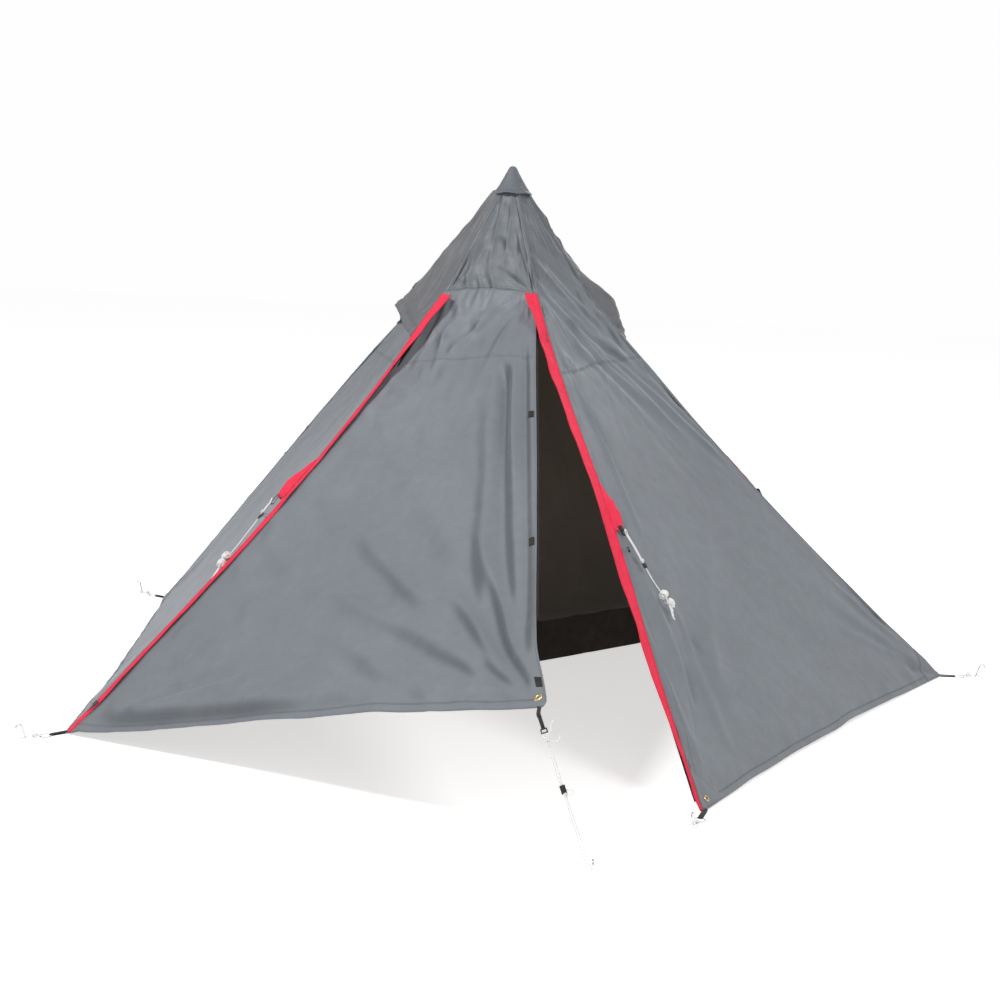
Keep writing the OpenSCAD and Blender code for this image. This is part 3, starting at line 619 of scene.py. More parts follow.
def strap(curve, across, width, thick=0.0014):
    """Flat strap along a curve; across is its width direction, one or one per point."""
    curve, across = np.asarray(curve, float), unit(across)
    out = unit(np.cross(unit(np.gradient(curve, axis=0)), across))
    half = width / 2
    wide, deep = across * half, out * thick / 2
    points = np.stack([curve - wide + deep, curve + wide + deep,
                       curve + wide - deep, curve - wide - deep], 1)
    index = np.arange(len(curve) * 4).reshape(-1, 4)
    after = np.roll(index, -1, 1)
    faces = np.stack([index[:-1], index[1:], after[1:], after[:-1]], -1).reshape(-1, 4).tolist()
    faces += [index[0].tolist(), index[-1][::-1].tolist()]
    uv = np.stack(np.broadcast_arrays(np.array([-1, 1, 1, -1])[None] * half,
                                      run(curve)[:, None]), -1)
    return points.reshape(-1, 3), faces, uv.reshape(-1, 2)


STITCH_PITCH, STITCH_LENGTH, STITCH_R, STITCH_LIFT = 0.007, 0.0045, 0.00055, 0.0004
STITCH_FACES = np.array([[0, 2, 3], [0, 3, 1], [2, 4, 5], [2, 5, 3], [0, 6, 2],
                         [2, 6, 4], [1, 3, 6], [3, 5, 6], [0, 1, 6], [4, 6, 5]])


def stitches(curve, out):
    """Row of thread stitches along a curve on a surface with normals out."""
    out, dist = unit(out), run(curve)
    count = int(dist[-1] / STITCH_PITCH)
    start = (np.arange(count) + 0.2) * STITCH_PITCH
    first, last = along(start, dist, curve), along(start + STITCH_LENGTH, dist, curve)
    out = unit(along(start + STITCH_LENGTH / 2, dist, out))
    wide = unit(np.cross(unit(last - first), out)) * STITCH_R
    middle = (first + last) / 2
    crown = middle + out * (STITCH_LIFT + STITCH_R)
    low = out * STITCH_LIFT * 0.2
    points = np.stack([first + low - wide, first + low + wide, crown - wide, crown + wide,
                       last + low - wide, last + low + wide, middle - out * 0.0006], 1)
    faces = (np.arange(count)[:, None, None] * 7 + STITCH_FACES[None]).reshape(-1, 3)
    return points.reshape(-1, 3), faces.tolist(), None


# ---------------------------------------------------------------- the canopy's shape
# sag of each ridge at these heights, as a share of CORNER_R, outward positive
RIDGE_SAG_Z = np.array([0, 0.05, 0.12, 0.20, 0.27, 0.35, 0.45, 0.56, 0.62, 0.67, 0.71, 0.757,
                        0.82, 0.90, 1.0]) * APEX_Z
RIDGE_SAG = (
    (0, -0.010, -0.018, -0.028, -0.035, -0.039, -0.040, -0.032, -0.024, -0.012, -0.004,
     0, 0, 0, 0),
    (0, 0.000, 0.000, 0.001, 0.003, 0.006, 0.006, -0.005, -0.009, -0.009, -0.004, 0, 0, 0, 0),
    (0, -0.003, -0.012, -0.018, -0.022, -0.023, -0.021, -0.012, -0.006, -0.002, 0.004, 0.008,
     0.006, 0.002, 0),
    (0, -0.004, -0.010, -0.014, -0.017, -0.018, -0.017, -0.012, -0.008, -0.004, 0.0, 0.002,
     0.002, 0, 0),
    (0, 0.002, 0.006, 0.014, 0.021, 0.026, 0.034, 0.040, 0.042, 0.040, 0.036, 0.028, 0.016,
     0.006, 0),
)
WALL_SAG = (0.004, 0.020, 0.030, 0.032, 0.026)          # inward sag at mid-wall
HEM_ARCH = (0.0, 0.016, 0.020, 0.020, 0.018)            # rise of the hem between its pegs


def plain_radius(z):
    """Radius of the corners of the unsagged pyramid at height z."""
    z = np.asarray(z, float)
    return np.where(z <= KNEE_Z, CORNER_R + (KNEE_R - CORNER_R) * z / KNEE_Z,
                    KNEE_R * (APEX_Z - z) / (APEX_Z - KNEE_Z))


def half_width(z):
    return plain_radius(z) * SIN36


def ridge(corner, z):
    """Points on a ridge line at heights z, with a softened knee and the ridge's own sag."""
    corner %= 5
    z = np.asarray(z, float)
    knee = np.sqrt((z - KNEE_Z) ** 2 + 0.05 ** 2) - np.abs(z - KNEE_Z)
    turn = (CORNER_R - KNEE_R) / KNEE_Z - KNEE_R / (APEX_Z - KNEE_Z)
    radius = plain_radius(z) + knee * 0.5 * turn * 0.6 * (z > 0.9)
    radius = radius + np.interp(z, RIDGE_SAG_Z, RIDGE_SAG[corner]) * CORNER_R
    angle = CORNER_ANGLE[corner]
    return np.stack([radius * math.cos(angle), radius * math.sin(angle), z], -1)


def wall_normal(wall, z):
    angle = WALL_ANGLE[wall]
    lower = unit(compass(angle, KNEE_Z, (CORNER_R - KNEE_R) * COS36))
    upper = unit(compass(angle, APEX_Z - KNEE_Z, KNEE_R * COS36))
    share = ease(z, KNEE_Z - 0.08, KNEE_Z + 0.08)[..., None]
    return unit(lower * (1 - share) + upper * share)


def slope(z):
    """Distance up the slope from the hem to height z."""
    z = np.asarray(z, float)
    upper = math.hypot(KNEE_R * COS36, APEX_Z - KNEE_Z)
    return np.where(z < KNEE_Z, z / KNEE_Z * SLANT,
                    SLANT + (z - KNEE_Z) / (APEX_Z - KNEE_Z) * upper)


SEAM_SLOPE = float(slope(SEAM_Z))


def seam_bow(wall, span):
    """How far the cross seam rises above its nominal height, along the slope."""
    span = np.asarray(span, float)
    return 0.042 * ease(span, -0.95, 0.15) if wall == 1 else 0.006 * (1 - span ** 2)


def wall_relief(wall, x, y, span, z):
    """Cloth relief common to the walls: x along the hem from its middle, y up the slope."""
    half = half_width(z)
    middle = ease(z, 0.0, 0.25) * (1 - ease(z, 1.1, 1.45))
    rise = (-WALL_SAG[wall] * (1 - span ** 2) * (0.35 + 0.65 * middle)
            * (1 - ease(z, 1.3, 1.7) * 0.8))
    inset = (1 - np.abs(span)) * half               # distance in from the nearer ridge
    inner = ease(inset, 0.0, 0.03)
    # slow billow and fine diagonal crinkle
    rise = rise + (0.0065 * inner * billow(x * 2.6 + 11 * wall, y * 2.2 + 3, 5 + wall)
                   * ease(inset, 0, 0.15))
    rise = rise + ((0.0006 if wall == 4 else 0.0016) * inner
                   * billow((x + 0.6 * y) * 11, (y - 0.6 * x) * 6, 31 + wall))
    # short and long puckers along the ridge seams
    for side in (-1, 1):
        edge = (1 - side * span) * half
        seed = wall + side
        rise = rise + (0.0022 * bell(edge - 0.018, 0.035) * ease(edge, 0.0, 0.012)
                       * folds(y * 22 + edge * 14, edge * 9, 61 + seed))
        rise = rise + (0.0034 * bell(edge - 0.05, 0.06) * ease(edge, 0.0, 0.02)
                       * folds(y * 7 - edge * 5, edge * 6 + y, 77 + seed, 1.3))
    # folds that leave the lower corners and the guy points
    for side in (-1, 1):
        seed = wall + side
        count, reach, height = (4.6, 0.70, 0.0300) if seed == 0 and wall == 1 \
            else (7.0, 0.45, 0.0120)
        rise = rise + fans(x, y, (side * (FOOT_HALF - 0.03), 0.02, 90 + side * 35, 34, count,
                                  0.14, reach, height, 90 + seed))
        if wall:
            rise = rise + fans(x, y, (side * half_width(0.67), 0.90, 90 + side * 90, 62, 5.0,
                                      0.14, 0.20, 0.0032, 120 + seed))
    # folds that run down and up from the knee
    for side, weight in ((-1, 1.0), (1, 0.8)):
        seed = wall + side
        rise = rise + weight * fans(
            x, y,
            (side * KNEE_HALF * 0.9, SLANT + 0.02, -90 - side * 33, 20, 15.0, 0.12, 0.52,
             0.0095, 150 + seed),
            (side * KNEE_HALF * 0.9, SLANT, 90 + side * 20, 60, 5.0, 0.05, 0.17,
             0.0040, 170 + seed))
    # rippled cloth either side of the seam, then the seam's own lip and groove
    off = y - SEAM_SLOPE - seam_bow(wall, span)
    beside = ease(np.abs(off), 0.0, 0.01) * inner
    rise = rise + 0.0024 * bell(off - 0.030, 0.034) * beside * folds(x * 24, off * 8, 200 + wall)
    rise = rise + 0.0036 * bell(off + 0.050, 0.060) * beside * folds(x * 13, off * 5, 210 + wall)
    rise = rise + 0.0011 * bell(off - 0.006, 0.0065) - 0.0022 * bell(off, 0.0028)
    # hem band and its ripples
    rise = rise + 0.0013 * (1 - ease(y, 0.027, 0.031)) - 0.0010 * bell(y - 0.030, 0.003)
    rise = rise + (0.0045 * bell(y - 0.055, 0.06) * folds(x * 8.5, y * 5, 220 + wall, 1.4)
                   * ease(inset, 0.02, 0.2) * ease(y, -0.01, 0.05))
    # ridge seams stand up a little
    return rise + 0.0012 * (1 - ease(inset, 0.011, 0.014)) - 0.0009 * bell(inset - 0.0145, 0.003)


# creases: x0, y0, x1, y1, width, height, bend
RIGHT_CREASES = (
    (-0.10, 1.92, 0.12, 1.60, 0.014, 0.007, 0.01), (-0.05, 1.90, 0.20, 1.58, 0.012, 0.008, 0.0),
    (-0.12, 1.80, 0.30, 1.12, 0.016, 0.0075, 0.02), (0.03, 1.62, 0.48, 0.98, 0.015, 0.0085, 0.02),
    (0.10, 1.60, 0.60, 0.86, 0.020, 0.007, 0.02), (-0.20, 1.60, -0.34, 1.02, 0.012, 0.0065, 0.0),
    (-0.24, 1.42, -0.42, 0.80, 0.013, 0.006, 0.0), (-0.55, 0.72, -0.72, 0.22, 0.016, 0.007, 0.0),
    (-0.46, 0.62, -0.66, 0.10, 0.020, 0.006, 0.01), (-0.70, 0.62, -0.86, 0.12, 0.010, 0.004, 0.0),
    (0.78, 0.10, 0.95, 0.03, 0.018, -0.012, 0.0),
)
GABLE_CREASES = (
    (0.045, 2.20, 0.085, 1.83, 0.011, 0.0040, 0.004),
    (0.070, 2.12, 0.120, 1.80, 0.012, 0.0034, 0.004),
    (-0.03, 2.17, -0.10, 1.84, 0.012, 0.004, -0.004),
    (-0.055, 2.08, -0.13, 1.86, 0.012, 0.0035, 0.0),
)


def right_relief(x, y, span, z):
    """Hard folds from the knee towards the far ridge and long creases down the face."""
    rise = fans(x, y, (-0.13, SLANT + 0.05, -50, 24, 8.0, 0.10, 0.42, 0.0200, 301, 1.6),
                (-0.16, SLANT + 0.12, -62, 28, 10.0, 0.06, 0.24, 0.0140, 305, 1.5))
    off = y - SEAM_SLOPE - seam_bow(1, span)
    rise = rise + (0.0095 * bell(off - 0.055, 0.055)
                   * folds(x * 15 + y * 8, y * 5 - x * 4, 307, 1.5)
                   * ease(1 - np.abs(span), 0.02, 0.2))
    rise = rise + sum(crease(x, y, *row) for row in RIGHT_CREASES)
    edge = (1 - span) * half_width(z)
    return rise + (0.0075 * bell(edge - 0.035, 0.045) * ease(edge, 0, 0.012)
                   * ease(z, 1.02, 1.15) * (1 - ease(z, 1.52, 1.66))
                   * folds(edge * 46 + y * 6, y * 7, 333, 1.5))


def gable_relief(x, y, span, z):
    """Long folds from the apex and small fans off both ends of the door's top seam."""
    rise = sum(crease(x, y, *row) for row in GABLE_CREASES)
    rise = rise + fans(x, y, (0.150, SLANT + 0.005, 118, 34, 5.5, 0.03, 0.17, 0.0085, 351),
                       (-0.150, SLANT + 0.005, 62, 34, 5.5, 0.03, 0.17, 0.0085, 352))
    rise = rise + (0.0026 * folds(x * 13 / (0.25 + (2.35 - y)), y * 3.0, 355, 1.3)
                   * ease(1 - np.abs(span), 0, 0.3))
    return rise + (0.0050 * bell(y - SLANT - 0.035, 0.035)
                   * folds(x * 22 + y * 8, y * 7 - x * 5, 353))


def left_relief(x, y, span, z):
    return fans(x, y, (0.15, SLANT - 0.02, -110, 22, 12.0, 0.12, 0.6, 0.0065, 341))


OWN_RELIEF = {0: gable_relief, 1: right_relief, 4: left_relief}

WALL_COLS = 128
even = np.linspace(-1, 1, WALL_COLS + 1)
COL_SPAN = even + 0.13 * np.sin(np.pi * even)           # columns crowd towards the ridges


def row_heights():
    """Heights of the canopy's rows, closer at the hem, seam, knee and top."""
    z = np.linspace(0, 1, 4000) * 1.782
    density = (1 / 0.0110 + 170 * bell(z - SEAM_Z - 0.018, 0.024) + 200 * bell(z, 0.03)
               + 60 * bell(z - KNEE_Z, 0.04) + 40 * ease(z, 1.1, 1.35))
    total = np.concatenate([[0], np.cumsum((density[1:] + density[:-1]) / 2 * np.diff(z))])
    return np.interp(np.linspace(0, total[-1], int(total[-1])), total, z)


ROW_Z = row_heights()
KNEE_ROW = int(np.argmin(np.abs(ROW_Z - KNEE_Z)))
ROW_Z[KNEE_ROW] = KNEE_Z


def canopy_wall(wall):
    z, span = np.broadcast_arrays(ROW_Z[:, None], COL_SPAN[None])
    hem = (0.004 + HEM_ARCH[wall] * (1 - span ** 2)
           + 0.004 * noise(span * 6 + 9 * wall, 0.5, 400 + wall) * (1 - span ** 2))
    z = z + hem * (1 - ease(z, 0.0, 0.5))
    if wall == 0:           # the top seam of the door bows up a little
        z = z + 0.020 * (1 - span ** 2) * (1 - ease(z, KNEE_Z, KNEE_Z + 0.15))
    share = (span[..., None] + 1) / 2
    grid = ridge(wall, z) * (1 - share) + ridge(wall + 1, z) * share
    x, y = span * half_width(z), slope(z)
    rise = wall_relief(wall, x, y, span, z)
    if wall in OWN_RELIEF:
        rise = rise + OWN_RELIEF[wall](x, y, span, z)
    if wall == 0:           # only the gable above the door belongs to this wall
        rise = rise * ease(z, KNEE_Z - 0.3, KNEE_Z)
    # relief fades to nothing at the very ridge
    rise = rise * ease((1 - np.abs(span)) * half_width(z), -0.004, 0.006)
    grid = grid + wall_normal(wall, z) * rise[..., None]
    uv = np.stack([x, y], -1) + np.array([wall * 2.5, 0.0])
    return grid[:, :-1], uv[:, :-1]


def build_canopy():
    grids, uvs = zip(*(canopy_wall(wall) for wall in range(5)))
    grid, uv = np.concatenate(grids, 1), np.concatenate(uvs, 1)
    cols = grid.shape[1]
    on_ridge = np.arange(cols) % WALL_COLS == 0
    for _ in range(2):
        soft = grid.copy()
        soft[1:-1] = (4 * grid[1:-1] + grid[:-2] + grid[2:] + np.roll(grid, 1, 1)[1:-1]
                      + np.roll(grid, -1, 1)[1:-1]) / 8
        soft[:, on_ridge] = grid[:, on_ridge]
        grid = soft
    # soften the ridge lines and the columns beside them
    weight = np.zeros(cols)
    for corner in range(5):
        for k in (-1, 0, 1):
            weight[(corner * WALL_COLS + k) % cols] = 0.55
    weight = weight[None, :, None]
    for _ in range(2):
        soft = (np.roll(grid, 1, 1) + 2 * grid + np.roll(grid, -1, 1)) / 4
        grid = grid * (1 - weight) + soft * weight
    return grid, uv


def canopy_cells():
    """Cells of the canopy: none for the door, none in the open vents under the hoods."""
    cells = np.ones((len(ROW_Z) - 1, CANOPY.shape[1]), bool)
    cells[:KNEE_ROW, :WALL_COLS] = False
    span = (COL_SPAN[:-1] + COL_SPAN[1:]) / 2
    z = (ROW_Z[:-1] + ROW_Z[1:]) / 2
    half = half_width(z)[:, None]
    vent = ((z > 1.404) & (z < 1.556))[:, None] & (np.abs(span)[None] * half < half - 0.036)
    for wall in (4, 2):
        cells[:, wall * WALL_COLS:(wall + 1) * WALL_COLS] &= ~vent
    return cells


CANOPY, canopy_uv = build_canopy()
canopy = sheet("fly_canopy", CANOPY, M_CANOPY, 0.0012, under=M_LINING, uv=canopy_uv,
               wrap=True, keep=canopy_cells(), with_painted_shade=True)
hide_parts("wall_left_lower", "wall_left_upper", "wall_rear_left_lower",
            "wall_rear_left_upper", "wall_rear_right_lower", "wall_rear_right_upper",
            "wall_right_lower", "wall_right_upper", "front_gable")
CANOPY_OUT = normals(CANOPY, True)


def sample(grid, out, row, col, lift, wrap=False):
    """Points and normals of a grid at fractional rows and columns, lifted off the cloth."""
    rows, cols = grid.shape[:2]
    col, row = np.broadcast_arrays(np.asarray(col, float), np.asarray(row, float))
    if wrap:
        col = col % cols
    c0 = np.clip(np.floor(col).astype(int), 0, cols - (1 if wrap else 2))
    r0 = np.clip(np.floor(row).astype(int), 0, rows - 2)
    c1 = (c0 + 1) % cols
    fc, fr = (col - c0)[..., None], (row - r0)[..., None]

    def pick(field):
        return ((field[r0, c0] * (1 - fc) + field[r0, c1] * fc) * (1 - fr)
                + (field[r0 + 1, c0] * (1 - fc) + field[r0 + 1, c1] * fc) * fr)

    normal = unit(pick(out))
    return pick(grid) + normal * lift, normal


def on_wall(wall, span, z, lift=0.0):
    row = np.interp(z, ROW_Z, np.arange(len(ROW_Z)))
    col = wall * WALL_COLS + np.interp(span, COL_SPAN, np.arange(WALL_COLS + 1))
    return sample(CANOPY, CANOPY_OUT, row, col, lift, wrap=True)


def on_wall_at(wall, x, y, lift=0.0):
    """Point on a wall at x along the hem from its middle and y up the slope."""
    z = np.asarray(y, float) / SLANT * KNEE_Z
    return on_wall(wall, np.clip(x / half_width(z), -0.9995, 0.9995), z, lift)


def edge_span(side, z, inset):
    """Span at a distance in from a ridge."""
    return side * (1 - np.asarray(inset) / half_width(z))


# ---------------------------------------------------------------- the door
DOOR_ROWS, DOOR_COLS = 170, 150
DOOR_RUN = 1.955                                        # hem to top seam along the cloth
# rows: 0 hem, 1 top; columns: 0 hinge ridge, 1 free edge
door_t = np.linspace(0, 1, DOOR_ROWS)
door_s = np.linspace(0, 1, DOOR_COLS)
door_s = door_s - 0.055 * np.sin(2 * np.pi * door_s)
# the door folds about the line from its pegged corner to the top of the zip
FOLD_LINE = unit(ZIP_TOP - HINGE_FOOT)
FOLD_SIDE = np.cross(FOLD_LINE, FRONT_OUT)              # towards the guyed corner


def build_door():
    """Hinge triangle, soft valley and guyed-out leaf, before its relief."""
    t = door_t[:, None]
    left = ridge(0, door_t * KNEE_Z)
    right = GUY_CORNER + (ZIP_TOP - GUY_CORNER) * t
    # the free edge is cut back from the ridge line, parallel to it
    cut = 0.009 * (0.35 + 0.65 * ease(1 - t, 0.0, 0.2)) - 0.026 * (1 - ease(t, 0.0, 0.15))
    right = right + unit(HINGE_FOOT - GUY_CORNER) * cut
    top = along(door_s, (COL_SPAN + 1) / 2, CANOPY[KNEE_ROW, :WALL_COLS + 1])
    left[-1], right[-1] = top[0], top[-1]
    hem = left[0] + (right[0] - left[0]) * door_s[:, None]
    # surface between the four edges
    s, t = door_s[None, :, None], door_t[:, None, None]
    grid = (1 - s) * left[:, None] + s * right[:, None] + (1 - t) * hem[None] + t * top[None] \
        - ((1 - s) * (1 - t) * hem[0] + s * (1 - t) * hem[-1]
           + (1 - s) * t * top[0] + s * t * top[-1])
    leaf_out = unit(np.cross(HINGE_FOOT - ZIP_TOP, GUY_CORNER - ZIP_TOP))
    height = (grid - ZIP_TOP) @ FRONT_OUT
    tilt = -(leaf_out @ FOLD_SIDE) / (leaf_out @ FRONT_OUT)
    flat = tilt * ((grid - HINGE_FOOT) @ FOLD_SIDE)
    soft = 0.16 * ease(np.linalg.norm(grid - HINGE_FOOT, axis=-1), 0, 0.7) \
        * ease(np.linalg.norm(grid - ZIP_TOP, axis=-1), 0, 0.6) + 0.004
    folded = 0.5 * (flat + np.sqrt(flat ** 2 + soft ** 2)) - 0.5 * soft
    s, t = s[..., 0], t[..., 0]
    free = ease(s, 0.0, 0.12) * (1 - ease(t, 0.94, 1.0))
    grid = grid + FRONT_OUT * ((folded - height) * 0.55 * free)[..., None]
    # the closed end of the zip still draws in the head of the leaf
    back = 0.66 * (1 - t) * ease(t, 0.80, 0.94) * ease(s, 0.30, 1.0)
    return grid + np.array([-0.245, 0.969, -0.03]) * back[..., None]


def door_relief(grid):
    """x is negative metres in from the free edge, y metres up from the hem."""
    s, t, width = door_s[None], door_t[:, None], DOOR_WIDTH[:, None]
    x, y = (s - 1) * width, t * DOOR_RUN
    from_hinge = s * width
    inner = ease(from_hinge, 0.0, 0.05)
    rise = 0.006 * billow(x * 2.4, y * 2.1, 501) * inner * ease(-x, 0, 0.12)
    rise = rise + 0.0014 * billow((x - 0.5 * y) * 13, (y + 0.5 * x) * 5, 502) * inner
    # placket folds along the free edge, from the edge inward
    rise = rise - (0.0075 * bell(-x - 0.034 - 0.006 * noise(y * 1.7, 0.9, 502), 0.010)
                   * ease(y, 0.10, 0.5) * (1 - ease(y, 1.55, 1.75)))
    rise = rise + (0.0230 * bell(-x - 0.075 - 0.012 * noise(y * 2.2, 0.3, 503), 0.020)
                   * ease(y, 0.25, 0.6) * (1 - ease(y, 1.50, 1.62))
                   * (0.75 + 0.5 * noise(y * 2.4, 1.0, 504)))
    rise = rise - (0.0170 * bell(-x - 0.120 - 0.010 * noise(y * 1.9, 5.0, 507), 0.024)
                   * ease(y, 0.2, 0.6) * (1 - ease(y, 1.45, 1.6))
                   * (0.7 + 0.5 * noise(y * 2.0, 2.0, 505)))
    rise = rise + (0.0150 * bell(-x - 0.178, 0.032) * ease(y, 0.2, 0.6)
                   * (1 - ease(y, 1.2, 1.5)) * (0.6 + 0.6 * noise(y * 1.7, 3.0, 506)))
    # folds from the guyed corner, both top corners and the pegged corner
    rise = rise + fans(x, y, (-0.035, 0.03, 122, 36, 4.2, 0.09, 0.62, 0.0420, 511, 1.3),
                       (-0.04, 0.03, 168, 22, 5.0, 0.12, 0.60, 0.0200, 512, 1.4),
                       (-0.02, 1.96, -118, 32, 5.5, 0.04, 0.32, 0.0150, 513, 1.4))
    rise = rise + fans(from_hinge, y,
                       (0.01, 1.96, -62, 32, 5.5, 0.04, 0.32, 0.0140, 514, 1.4),
                       (0.03, 0.02, 38, 24, 5.0, 0.12, 0.60, 0.0180, 515, 1.4))
    # puckers under the top seam, over the face and at the cross seam
    rise = rise + 0.0050 * bell(y - 1.905, 0.045) * folds(x * 17, y * 4, 521) * inner
    rise = rise + (0.0036 * ease(y, 1.60, 1.72) * (1 - ease(y, 1.90, 1.96))
                   * folds(x * 6 + y * 5, y * 4 - x * 3, 524, 1.4) * inner)
    rise = rise + (0.0022 * folds(x * 7 + y * 2, y * 9 - x * 2, 525, 1.5) * inner
                   * ease(-x, 0.1, 0.3) * (1 - ease(y, 1.5, 1.7)))
    off = y - DOOR_RUN * SEAM_Z / KNEE_Z
    rise = rise + (0.0026 * bell(off + 0.05, 0.055) * ease(np.abs(off), 0, 0.01)
                   * folds(x * 15, off * 5, 522) * inner)
    rise = rise + 0.0012 * bell(off - 0.006, 0.0075) - 0.0022 * bell(off, 0.0045)
    # cloth tucked along the hinge ridge
    rise = rise + (0.0060 * bell(from_hinge - 0.06, 0.045) * ease(from_hinge, 0, 0.02)
                   * folds(y * 6 + from_hinge * 6, from_hinge * 5, 523, 1.4)
                   * (1 - ease(y, 1.75, 1.95)))
    # the spare hem cloth falls inwards near the pegged corner
    rise = rise - (0.020 * bell(y - 0.030, 0.030) * ease(s, 0.02, 0.10)
                   * (1 - ease(s, 0.36, 0.62)))
    rise = rise + (0.010 * bell(y - 0.085, 0.035) * ease(s, 0.03, 0.14)
                   * (1 - ease(s, 0.40, 0.70)))
    # hem band
    rise = rise + 0.0014 * (1 - ease(y, 0.026, 0.032)) - 0.0014 * bell(y - 0.032, 0.005)
    grid = grid + normals(grid) * rise[..., None]
    for _ in range(2):      # take the kinks out of the steepest folds
        grid = soften_inside(grid)
    # the hem edge lifts and ripples a little
    arch = np.sin(np.pi * s)
    lift = 0.010 * arch ** 2 + 0.005 * noise(s * 7, 0.2, 530) * arch
    grid[..., 2] += (lift * (1 - ease(t, 0.0, 0.10))
                     + 0.028 * ease(s, 0.0, 0.7) * (1 - ease(t, 0.0, 0.16)))
    # round the guyed corner
    radius = 0.022
    part = np.clip((radius + x) / radius, 0, 1) * radius
    trim = radius - np.sqrt(np.maximum(radius ** 2 - part ** 2, 0))
    return grid + unit(ZIP_TOP - GUY_CORNER) * (trim * (1 - ease(t, 0.0, 0.03)))[..., None]


door_base = build_door()
DOOR_WIDTH = np.linalg.norm(door_base[:, -1] - door_base[:, 0], axis=-1)
DOOR = door_relief(door_base)
door = sheet("door_sheet", DOOR, M_DOOR, 0.0012, body=None, under=M_LINING, with_painted_shade=True)
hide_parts("door_hinge_panel", "door_panel_lower", "door_panel_upper")
DOOR_OUT = normals(DOOR)


def on_door(share, height, lift=0.0):
    """Point at share (0 hinge ridge, 1 free edge) and height (0 hem, 1 top) of the door."""
    share, height = np.broadcast_arrays(np.asarray(share, float), np.asarray(height, float))
    col = np.interp(share, door_s, np.arange(DOOR_COLS))
    return sample(DOOR, DOOR_OUT, height * (DOOR_ROWS - 1), col, lift)


def from_free_edge(inset, height):
    """Share at a distance in from the free edge."""
    width = np.linalg.norm(DOOR[:, -1] - DOOR[:, 0], axis=-1)
    return 1 - inset / np.interp(height, door_t, width)


# ---------------------------------------------------------------- red storm flaps
def into_front(line, side):
    """Directions in the front wall's plane, square to a ridge and into the wall.

    side is 1 for the right ridge and -1 for the left.
    """
    return unit(np.cross(FRONT_OUT, unit(np.gradient(line, axis=0)))) * side


def storm_flap(name, corner, side, top_z, tilt, width, seed, stands_for, drag=None):
    """Strip of red cloth along a ridge; tilt is (heights, degrees), width (heights, sizes)."""
    z = np.linspace(0.006, top_z, 240)
    root = ridge(corner, z)
    if drag:                # the guy point drags the seam round on to the side wall
        root = root + sideways(WALL_ANGLE[1]) * np.interp(z, *drag)[:, None]
    inward = into_front(root, side)
    lean = np.radians(np.interp(z, *tilt) + 7 * noise(z * 5, 0.3, seed)
                      + 5 * noise(z * 19, 0.7, seed + 1))
    wide = np.interp(z, *width) * (1 + 0.045 * noise(z * 11, 0.2, seed + 2))
    cols = []
    for share in np.linspace(0, 1, 13):
        angle = lean * (0.55 + 0.45 * share)
        height = (np.sin(angle) * wide * share + 0.0016 * np.sin(np.pi * share)
                  + 0.0024 * noise(z * 26, share * 2.5, seed + 3)
                  * np.sin(np.pi * min(1, share * 1.1) * 0.9)
                  + 0.0034 * folds(z * 38 + share * 3, share * 1.6, seed + 4)
                  * share * (1 - share) * 2)
        cols.append(root + inward * (np.cos(angle) * wide * share)[:, None]
                    + FRONT_OUT * (height + 0.0032)[:, None])
    grid = facing(np.stack(cols, 1), FRONT_OUT)
    sheet(name, grid, M_RED, 0.0022, slot="red_fabric", stands_for=stands_for)
    return grid


FLAP_RIGHT = storm_flap(
    "storm_flap_right_cloth", corner=1, side=1, top_z=KNEE_Z + 0.004,
    tilt=([0, 0.06, 0.12, 0.17, 0.26, 0.4, 0.7, 1.0, 1.1, 1.22, 1.30, 1.37],
          [24, 62, 70, 68, 60, 56, 57, 52, 50, 54, 52, 26]),
    width=([0, 0.05, 0.10, 0.16, 0.30, 1.0, 1.24, 1.31, 1.37],
           [0.008, 0.016, 0.020, 0.028, 0.042, 0.046, 0.046, 0.050, 0.047]),
    seed=601, stands_for="storm_flap_right",
    drag=([0.30, 0.60, 0.80, 0.98], [0, 0.011, 0.010, 0]))
FLAP_LEFT = storm_flap(
    "storm_flap_left_cloth", corner=0, side=-1, top_z=KNEE_Z - 0.010,
    tilt=([0, 0.2, 0.5, 0.8, 0.95, 1.1, 1.2, 1.37], [28, 33, 36, 38, 45, 52, 32, 18]),
    width=([0, 0.1, 0.3, 0.9, 1.1, 1.37], [0.018, 0.024, 0.026, 0.028, 0.036, 0.044]),
    seed=621, stands_for="storm_flap_left")


